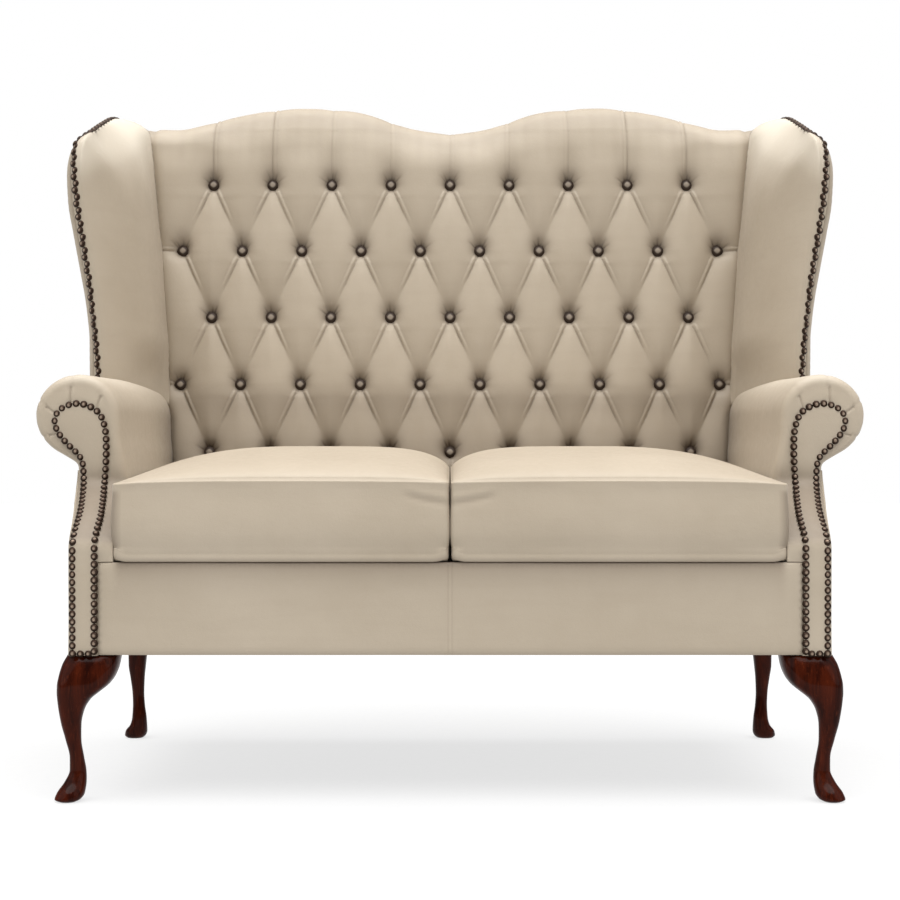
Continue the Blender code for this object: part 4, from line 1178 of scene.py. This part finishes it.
    # nails along the loop and across its foot, spaced over the true, swept length
    path = curve(LOOP, 0.0006)
    foot = np.array([(q, 0.2192) for q in np.linspace(path[-1, 0], path[0, 0], 40)])[1:]
    full = np.concatenate([path, foot])
    p3 = np.stack([full[:, 0], sweep(full[:, 1]), full[:, 1]], 1)
    p3 = np.concatenate([p3, p3[:1]])
    s = np.r_[0.0, np.cumsum(np.linalg.norm(np.diff(p3, axis=0), axis=1))]
    count = int(round(s[-1] / 0.0119))
    places, ways = [], []
    for q in np.arange(count) * s[-1] / count:
        p = np.array([np.interp(q, s, p3[:, k]) for k in range(3)])
        sl = float((sweep(p[2] + 0.001) - sweep(p[2] - 0.001)) / 0.002)
        way = np.array([0.0, -1.0, sl])
        way /= np.linalg.norm(way)
        places.append(p + way * 0.0036)
        ways.append(way)
    # the nails over the swept neck take painted shade where they face up
    for side, sg in SIDES:
        nails(f"arm_nails_{side}", places, ways, sg, [f"arm_nail_trim_{side}"], 1.03, 0.75)

    # outside arm panel from the foot up to the underside of the scroll
    zs = np.linspace(0.2165, 0.4975, 60)
    ys = np.r_[np.linspace(0.0035, 0.05, 8)[:-1], np.linspace(0.05, 1.0, 44)]
    Z, T = np.meshgrid(zs, ys, indexing="ij")
    end = lean(Z) + 0.1160
    Yf = sweep(Z) + 0.0045 + (end - sweep(Z) - 0.0045) * (T - ys[0]) / (1 - ys[0])
    base_x = table(Z, ARM_OUT)
    X = arm_shift(base_x, Yf, Z, np.ones_like(Z, bool))
    edge = np.minimum(np.minimum(Z - zs[0], zs[-1] - Z), np.minimum((Yf - sweep(Z) - 0.0045), end - Yf))
    puff = 0.0008 + 0.0034 * (1 - np.exp(-np.maximum(edge, 0) / 0.016)) + 0.0005 * wob(Yf, Z, Z, 0.2, 8.0)
    nz, ny = Z.shape
    a = np.stack([(X + puff).ravel(), Yf.ravel(), Z.ravel()], 1)
    b = np.stack([(X - 0.0020).ravel(), Yf.ravel(), Z.ravel()], 1)
    faces = grid_faces(nz, ny) + [tuple(i for i in f[::-1]) for f in grid_faces(nz, ny, base=nz * ny)]
    rim = [j for j in range(ny)] + [i * ny + ny - 1 for i in range(1, nz)] + [(nz - 1) * ny + j for j in range(ny - 2, -1, -1)] + [i * ny for i in range(nz - 2, 0, -1)]
    for p, q in zip(rim, rim[1:] + rim[:1]):
        faces.append((p, q, nz * ny + q, nz * ny + p))
    # painted shade along the panel's edges
    dark = np.r_[0.30 * np.exp(-np.maximum(edge.ravel(), 0) / 0.0035), np.zeros(nz * ny)]
    for side, sg in SIDES:
        o = piece(f"outside_arm_hide_{side}", mirrored(np.concatenate([a, b]), sg), faces, HIDE_ARM, attrs={"painted_shade": dark})
        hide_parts(f"outside_arm_{side}")


make_arms()


# ------------------------------------------------------------------ flat covers: front border and outside back
def make_front_border():
    x0, z0, z1 = 0.5353, 0.2165, 0.3571
    xs = np.linspace(-x0, x0, 241)
    zs = np.linspace(z0, z1, 32)
    outline = np.concatenate([np.stack([xs, np.full_like(xs, z0)], 1), np.stack([np.full(len(zs) - 1, x0), zs[1:]], 1),
                              np.stack([xs[::-1][1:], np.full(len(xs) - 1, z1)], 1), np.stack([np.full(len(zs) - 2, -x0), zs[::-1][1:-1]], 1)])
    core = hexgrid(-x0, x0, z0, z1, 0.0075)
    core = core[(np.abs(core[:, 0]) < x0 - 0.004) & (core[:, 1] > z0 + 0.004) & (core[:, 1] < z1 - 0.004) & (np.abs(core[:, 0]) > 0.008)]
    seam = np.array([(e, z) for z in np.arange(z0 + 0.002, z1 - 0.001, 0.0030) for e in (-0.0075, -0.0048, -0.0030, -0.0018, -0.0008, 0.0, 0.0008, 0.0018, 0.0030, 0.0048, 0.0075)])
    edges = []
    for off in (0.0012, 0.0026):
        edges += [(x, z0 + off) for x in xs[2:-2]] + [(x, z1 - off) for x in xs[2:-2]]
    edges = np.array(edges)
    edges = edges[np.abs(edges[:, 0]) > 0.009]
    uv, tris, where = fill(outline, np.concatenate([core, seam, edges]))
    x, z = uv[:, 0], uv[:, 1]
    edge = np.minimum(z - z0, z1 - z)
    groove = np.exp(-((np.abs(x) - 0.0030) / 0.0011) ** 2)
    puff = 0.0030 * (1 - np.exp(-edge / 0.0030)) - 0.0006 * groove * ease(edge / 0.004) + 0.0007 * wob(x, z, z, 0.23, 5.0)
    yf = 0.0020 - puff
    vf = np.stack([x, yf, z], 1)
    vb = np.stack([x, np.full(len(x), 0.0105), z], 1)
    verts, faces = sheet_solid(uv, tris, [int(i) for i in where], vf, vb)
    # darker along the centre seam, painted shade along the edges, and a painted shadow under the cushions
    dark = np.r_[np.clip(0.09 * groove + 0.10 * np.exp(-edge / 0.0022) + (0.48 * np.exp(-(z1 - z) / 0.022) + 0.32 * np.exp(-(z1 - z) / 0.0045)) * ease((0.514 - np.abs(x)) / 0.014), 0, 0.85), np.zeros(len(uv))]
    o = piece("front_border_leather", verts, faces, HIDE_RAIL, attrs={"painted_shade": dark})
    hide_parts("front_border")


make_front_border()


def make_outside_back():
    d0, d1 = 0.1172, 0.1215
    zs = np.arange(0.2175, 1.1400, 0.009)
    sides = np.stack([rear_x(zs), zs], 1)
    xs = np.arange(sides[-1, 0] - 0.006, -sides[-1, 0] + 0.003, -0.008)
    end = ease((np.abs(xs) - 0.520) / 0.060)
    tops = np.stack([xs, (crest(xs) - ROLL_B - 0.004) * (1 - end) + (zs[-1] + 0.0015) * end], 1)
    left = sides[::-1] * (-1, 1)
    foot = np.arange(-0.6060 + 0.008, 0.6060 - 0.004, 0.008)
    outline = np.concatenate([sides, tops, left, np.stack([foot, np.full(len(foot), 0.2175)], 1)])
    ring = np.concatenate([outline, outline[:1]])
    core = hexgrid(-0.66, 0.66, 0.21, 1.2, 0.014)
    core = core[inside(core, outline)]
    dd, _ = to_path(core, ring)
    inset = []
    for off in (0.0015, 0.004, 0.008):
        c = outline - normals2(outline, closed=True) * -off
        inset.append(c)
    inset = np.concatenate(inset)
    inset = inset[inside(inset, outline)]
    di, _ = to_path(inset, ring)
    uv, tris, where = fill(outline, np.concatenate([core[dd > 0.012], inset[di > 0.001]]))
    dd, _ = to_path(uv, ring)
    x, z = uv[:, 0], uv[:, 1]
    puff = 0.0060 * (1 - np.exp(-dd / 0.014)) + 0.0009 * wob(x, z, z, 0.31, 9.0)
    # its folded top edge lies over the end of the hide that comes down from the roll
    e = ease((np.abs(x) - 0.520) / 0.060)
    lip = 0.0036 * ease((z - crest(x) + ROLL_B + 0.064) / 0.040) * (1 - e)
    vf = np.stack([x, lean(z) + d1 + puff + lip, z], 1)
    vb = np.stack([x, lean(z) + d0, z], 1)
    verts, faces = sheet_solid(uv, tris, [int(i) for i in where], vf, vb)
    # painted shade along the edges
    dark = np.r_[0.34 * np.exp(-dd / 0.003), np.zeros(len(uv))]
    o = piece("outside_back_hide", verts, faces, HIDE_BACK, attrs={"painted_shade": dark})
    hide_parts("outside_back")


make_outside_back()

# ------------------------------------------------------------------ seat cushions
CU_X0, CU_X1, CU_Y0, CU_Y1 = 0.0022, 0.5122, -0.0025, 0.5310
CU_XM, CU_YM = (CU_X0 + CU_X1) / 2, (CU_Y0 + CU_Y1) / 2
CU_HX, CU_HY = (CU_X1 - CU_X0) / 2, (CU_Y1 - CU_Y0) / 2
CU_FLOOR, CU_SEAM = 0.3572, 0.3692


def cushion_seam(u, v):
    """Height of the upper seam at (u, v), both -1 to 1; u runs to the arm and v to the back."""
    f = (v + 1) / 2
    z = 0.4792 + 0.0275 * ease(f * 0.9 + 0.05) - 0.0275 * ease(0.05)
    front = np.maximum(0, 1 - f / 0.25)
    z = z + 0.0016 * (1 - u * u) * front - 0.0040 * np.maximum(u, 0) ** 5 * front - 0.0010 * np.maximum(-u, 0) ** 5 * front
    return z


def cushion_top(u, v):
    P = np.where(u > 0, np.maximum(0, 1 - np.abs(u) ** 2.5) ** 0.96, np.maximum(0, 1 - np.abs(u) ** 5.2) ** 0.62)
    Q = np.maximum(0, 1 - np.abs(v) ** 2.3)
    return cushion_seam(u, v) + (0.5362 - cushion_seam(0 * u, 0 * v)) * P * Q ** 0.52


def cushion_ring(rc, step):
    """Plan of the cushion: a rectangle with softly rounded corners, counter-clockwise from the front inner corner, with outward directions."""
    pts = []
    hx, hy = CU_HX, CU_HY
    for cx, cy, a0 in ((hx - rc, -hy + rc, -90), (hx - rc, hy - rc, 0), (-hx + rc, hy - rc, 90), (-hx + rc, -hy + rc, 180)):
        for a in np.radians(np.linspace(a0, a0 + 90, 9)):
            pts.append((cx + rc * math.cos(a), cy + rc * math.sin(a)))
    p = even(np.array(pts + pts[:1]), step, ends=False)
    return p, -normals2(p, closed=True)


def make_cushions():
    p, nr = cushion_ring(0.0105, 0.0050)
    n = len(p)
    u, v = p[:, 0] / CU_HX, p[:, 1] / CU_HY
    rows, dark, kind = [], [], []
    # top panel, from its middle out to the seam
    for q in np.r_[np.linspace(0.02, 0.90, 30), np.array([0.92, 0.94, 0.957, 0.970, 0.980, 0.9875, 0.9925])]:
        uu, vv = u * q, v * q
        z = cushion_top(uu, vv)
        rows.append(np.stack([p[:, 0] * q, p[:, 1] * q, z], 1))
        # a faint even painted shade over the top panel
        dark.append(np.full(n, 0.04))
    zs = cushion_seam(u, v)
    way_front = np.maximum(0, -nr[:, 1])
    way_out = np.maximum(0, nr[:, 0])
    way_in = np.maximum(0, -nr[:, 0])
    way_back = np.maximum(0, nr[:, 1])
    bulge = 0.0032 * way_front + 0.0018 * way_out + 0.0013 * way_in + 0.0030 * way_back

    def row(off, z, dk):
        q = p + nr * off[:, None] if hasattr(off, "__len__") else p + nr * off
        rows.append(np.stack([q[:, 0], q[:, 1], z], 1))
        dark.append(np.full(n, dk))

    # painted shade at the top seam
    row(-0.0012, zs + 0.0011, 0.0)
    row(0.0002, zs + 0.0003, 0.0)
    row(0.0008, zs - 0.0010, 0.02)
    row(0.0007, zs - 0.0025, 0.05)
    row(0.0008, zs - 0.0042, 0.02)
    lo, hi = CU_SEAM + 0.0035, zs - 0.0042
    for t in np.linspace(0, 1, 22)[1:-1]:
        z = hi + (lo - hi) * t
        b = bulge * np.sin(math.pi * t ** 1.7) ** 0.75
        lower = ease((t - 0.72) / 0.28)
        tuck = -0.0010 * lower - 0.0030 * lower * ease((np.abs(u) - 0.90) / 0.10) * way_front
        # creased upper corner by the inner end, as a sat-on cover takes
        uu, ff = u, way_front
        d1 = (uu + 0.86) / 0.13
        arc = 0.10 + 0.17 * np.clip((1 - (uu + 1.0) / 0.30), 0, 1) ** 0.6
        w1 = np.exp(-((t - arc) / 0.045) ** 2) * ff * ease((0.0 + (-0.70 - uu)) / 0.10)
        w2 = np.exp(-((t - arc + 0.075) / 0.055) ** 2) * ff * ease((-0.70 - uu) / 0.10)
        soft = 0.0007 * wob(p[:, 0], p[:, 1], z * 2.4, 0.16, 2.5) * ff
        off = 0.0006 + b + tuck - 0.0019 * w1 + 0.0012 * w2 + soft
        q = p + nr * off[:, None]
        rows.append(np.stack([q[:, 0], q[:, 1], z], 1))
        # painted shade in the crease and at the lower outer front corner
        dark.append(0.13 * w1 + 0.48 * np.clip(2 * way_out * way_front, 0, 1) ** 0.7 * ease((t - 0.02) / 0.10))
    lift = 0.0085 * ease((np.abs(u) - 0.90) / 0.10) ** 1.4 * way_front ** 0.5
    # painted shade along the lower seam and the foot
    row(0.0004, CU_SEAM + 0.0032 + lift, 0.02)
    row(-0.0002, CU_SEAM + 0.0010 + lift, 0.05)
    row(0.0001, CU_SEAM - 0.0012 + lift, 0.03)
    row(0.0003, CU_SEAM - 0.0040 + lift * 0.8, 0.0)
    row(-0.0002, CU_SEAM - 0.0072 + lift * 0.75, 0.0)
    row(-0.0016, CU_SEAM - 0.0102 + lift * 0.6, 0.02)
    row(-0.0048, CU_FLOOR + 0.0003 + lift * 0.4, 0.05)
    for q in (0.90, 0.78, 0.60, 0.40, 0.20, 0.04):
        rows.append(np.stack([p[:, 0] * q, p[:, 1] * q, np.full(n, CU_FLOOR)], 1))
        dark.append(np.zeros(n))
    m = len(rows)
    verts = np.concatenate(rows)
    verts[:, 0] += CU_XM
    verts[:, 1] += CU_YM
    faces = grid_faces(m, n, wrap_v=True) + [tuple(range(n))[::-1], tuple((m - 1) * n + k for k in range(n))]
    attrs = {"painted_shade": np.clip(np.concatenate(dark), 0, 0.8)}
    for side, s in SIDES:
        o = piece(f"seat_cushion_{side}", mirrored(verts, s), faces, HIDE_SEAT, f"cushion_{side}", attrs=attrs)
        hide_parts(f"cushion_cover_{side}")
    # zip along the rear border: tape, two rows of teeth and a slider
    for side, s in SIDES:
        verts, faces = [], []

        def block(x0, x1, y0, y1, z0, z1, bev):
            base = len(verts)
            for x, b in ((x0, bev), (x0 + bev, 0), (x1 - bev, 0), (x1, bev)):
                verts.extend([(x, y0 + b, z0 + bev), (x, y0 + b, z1 - bev), (x, y0 + b + bev, z1), (x, y1, z1), (x, y1, z0), (x, y0 + b + bev, z0)])
            faces.extend(grid_faces(4, 6, wrap_v=True, base=base) + [tuple(base + i for i in range(6)), tuple(base + 23 - i for i in range(6))])

        yb = CU_Y1 + 0.0030
        block(CU_XM - 0.2095, CU_XM + 0.2095, yb - 0.0012, yb + 0.0008, 0.405, 0.425, 0.0006)
        for i in range(100):
            x = CU_XM - 0.2060 + 0.00412 * i
            block(x, x + 0.0018, yb + 0.0002, yb + 0.0018, 0.4126 if i % 2 else 0.4142, 0.4158 if i % 2 else 0.4174, 0.0004)
        block(CU_XM + 0.196, CU_XM + 0.206, yb + 0.0004, yb + 0.0034, 0.4105, 0.4195, 0.0010)
        block(CU_XM + 0.199, CU_XM + 0.203, yb + 0.0034, yb + 0.0048, 0.3900, 0.4130, 0.0006)
        o = piece(f"seat_cushion_zip_{side}", mirrored(verts, s), faces, BRONZE, f"cushion_{side}", attrs={"rim": np.full(len(verts), 0.35)}, smooth=False)
        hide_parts(f"cushion_zip_{side}")


make_cushions()

# ------------------------------------------------------------------ legs
FRONT_LEG = [(0.0000, 0.5930, 0.5690), (0.0040, 0.6005, 0.5610), (0.0120, 0.5980, 0.5560), (0.0274, 0.5877, 0.5545), (0.0444, 0.5805, 0.5555),
             (0.0632, 0.5802, 0.5585), (0.0908, 0.5856, 0.5619), (0.1141, 0.5914, 0.5613), (0.1330, 0.5946, 0.5577), (0.1500, 0.5970, 0.5480),
             (0.1620, 0.5985, 0.5333), (0.1714, 0.5988, 0.5218), (0.1843, 0.5970, 0.5125), (0.2012, 0.5925, 0.5068), (0.2148, 0.5855, 0.5050)]
REAR_LEG = [(0.0000, 0.6120, 0.5830), (0.0040, 0.6170, 0.5780), (0.0126, 0.6152, 0.5746), (0.0243, 0.6057, 0.5740), (0.0373, 0.6018, 0.5746),
            (0.0608, 0.6005, 0.5780), (0.0845, 0.6018, 0.5796), (0.1106, 0.6057, 0.5790), (0.1340, 0.6090, 0.5770), (0.1800, 0.6080, 0.5720),
            (0.2148, 0.6060, 0.5690)]


def make_legs():
    for kind, rows, x_face, y_face, toe in (("front", FRONT_LEG, 0.5850, 0.0030, -1), ("rear", REAR_LEG, 0.6050, 0.6420, 1)):
        zs = np.r_[np.linspace(0, 0.014, 9), np.linspace(0.014, rows[-1][0], 62)[1:]]
        out = table(zs, [(r[0], r[1]) for r in rows])
        inn = table(zs, [(r[0], r[2]) for r in rows])
        k = 44
        a = 2 * np.pi * np.arange(k) / k
        rings = []
        for z, o, i in zip(zs, out, inn):
            w = o - i
            c = (o + i) / 2
            e = 2.1 + 1.5 * ease((z - 0.10) / 0.08)
            px = np.sign(np.cos(a)) * np.abs(np.cos(a)) ** (2 / e) * w / 2
            py = np.sign(np.sin(a)) * np.abs(np.sin(a)) ** (2 / e) * w / 2
            # the inner corner is hollowed behind the knee
            cut = 0.16 * w * ease((z - 0.13) / 0.05) * np.maximum(0, -np.cos(a)) * np.maximum(0, np.sin(a)) * 2
            px, py = px + cut * 0.7, py - cut * 0.7
            y = y_face - toe * (py + w / 2 - (o - x_face))
            rings.append(np.stack([c + px, y, np.full(k, z)], 1))
        # flat seat under the rail
        seat = rings[-1].copy()
        seat[:, 0] = np.minimum(seat[:, 0], 0.5676 if kind == "front" else 0.5950)
        if kind == "front":
            seat[:, 1] = np.maximum(seat[:, 1], 0.0125)
        for z in (0.2151, 0.2196):
            q = seat.copy()
            q[:, 2] = z
            rings.append(q)
        m = len(rings)
        verts = np.concatenate(rings)
        faces = grid_faces(m, k, wrap_v=True) + [tuple(range(k))[::-1], tuple((m - 1) * k + q for q in range(k))]
        for side, s in SIDES:
            ob = piece(f"{kind}_cabriole_leg_{side}", mirrored(verts, s), faces, MAHOGANY)
            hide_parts(f"{kind}_leg_{side}")


make_legs()

# ------------------------------------------------------------------ carried-over frame
FINISH = (("seat_rail", BEECH), ("centre_seat_brace", BEECH), ("corner_block", BEECH), ("arm_front_post", BEECH), ("arm_top_rail", BEECH),
          ("back_post", BEECH), ("back_top_rail", BEECH), ("back_lower_rail", BEECH), ("wing_frame", BEECH), ("seat_spring_unit", STEEL),
          ("leg_bolt", STEEL), ("seat_deck", DECK), ("back_webbing", WEBBING), ("dust_cover", CAMBRIC), ("cushion_core", FOAM))
for name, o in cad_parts.items():
    for key, mat in FINISH:
        if key in name:
            for sl in o.material_slots:
                sl.material = mat

# ------------------------------------------------------------------ floor, light and camera
n = Nodes("pale_studio_floor")
tone = n.noise(2.0, 3.0)
n.set(Specular_IOR_Level=0.2, Emission_Color=(1.0, 1.0, 1.0, 1.0), Emission_Strength=0.72)
n.done(n.mix(n.span(tone, 0.3, 0.7), (0.170, 0.170, 0.170), (0.180, 0.180, 0.180)), n.span(n.noise(60.0), 0.3, 0.7, 0.66, 0.74))
me = bpy.data.meshes.new("studio_floor")
R = 30.0
me.from_pydata([(-R, -R, 0), (R, -R, 0), (R, R, 0), (-R, R, 0)], [], [(0, 1, 2, 3)])
me.materials.append(n.mat)
floor = bpy.data.objects.new("studio_floor", me)
bpy.context.scene.collection.objects.link(floor)

world = bpy.data.worlds.new("studio")
bpy.context.scene.world = world
world.use_nodes = True
wt = world.node_tree
wt.nodes.clear()
wo = wt.nodes.new("ShaderNodeOutputWorld")
fill_light = wt.nodes.new("ShaderNodeBackground")
fill_light.inputs["Color"].default_value = (1.0, 1.0, 1.0, 1.0)
fill_light.inputs["Strength"].default_value = 0.28
paper = wt.nodes.new("ShaderNodeBackground")
paper.inputs["Color"].default_value = (1.0, 1.0, 1.0, 1.0)
paper.inputs["Strength"].default_value = 1.0
path = wt.nodes.new("ShaderNodeLightPath")
mix = wt.nodes.new("ShaderNodeMixShader")
wt.links.new(path.outputs["Is Camera Ray"], mix.inputs["Fac"])
wt.links.new(fill_light.outputs["Background"], mix.inputs[1])
wt.links.new(paper.outputs["Background"], mix.inputs[2])
wt.links.new(mix.outputs["Shader"], wo.inputs["Surface"])


def sun(name, strength, angle, elevation, azimuth):
    """A very soft light from a direction; azimuth 0 is straight in front, positive towards +X."""
    d = bpy.data.lights.new(name, "SUN")
    d.energy = strength
    d.angle = math.radians(angle)
    ob = bpy.data.objects.new(name, d)
    bpy.context.scene.collection.objects.link(ob)
    e, a = math.radians(elevation), math.radians(azimuth)
    towards = Vector((math.cos(e) * math.sin(a), -math.cos(e) * math.cos(a), math.sin(e)))
    ob.rotation_euler = (-towards).to_track_quat("-Z", "Y").to_euler()


sun("overhead_softbox", 5.0, 70, 81, 0)
sun("left_softbox", 0.77, 60, 35, -65)
sun("right_softbox", 0.77, 60, 35, 65)

cam = bpy.data.cameras.new("studio_camera")
cam.lens = 66.0
cam.sensor_width = 36.0
cam.shift_y = 0.0333
cam.clip_end = 200.0
co = bpy.data.objects.new("studio_camera", cam)
bpy.context.scene.collection.objects.link(co)
co.location = (0.0, -2.5 + Y0, 0.482 + LIFT)
co.rotation_euler = (math.radians(90), 0.0, 0.0)
bpy.context.scene.camera = co
bpy.context.scene.view_settings.view_transform = "Standard"
bpy.context.scene.view_settings.look = "None"
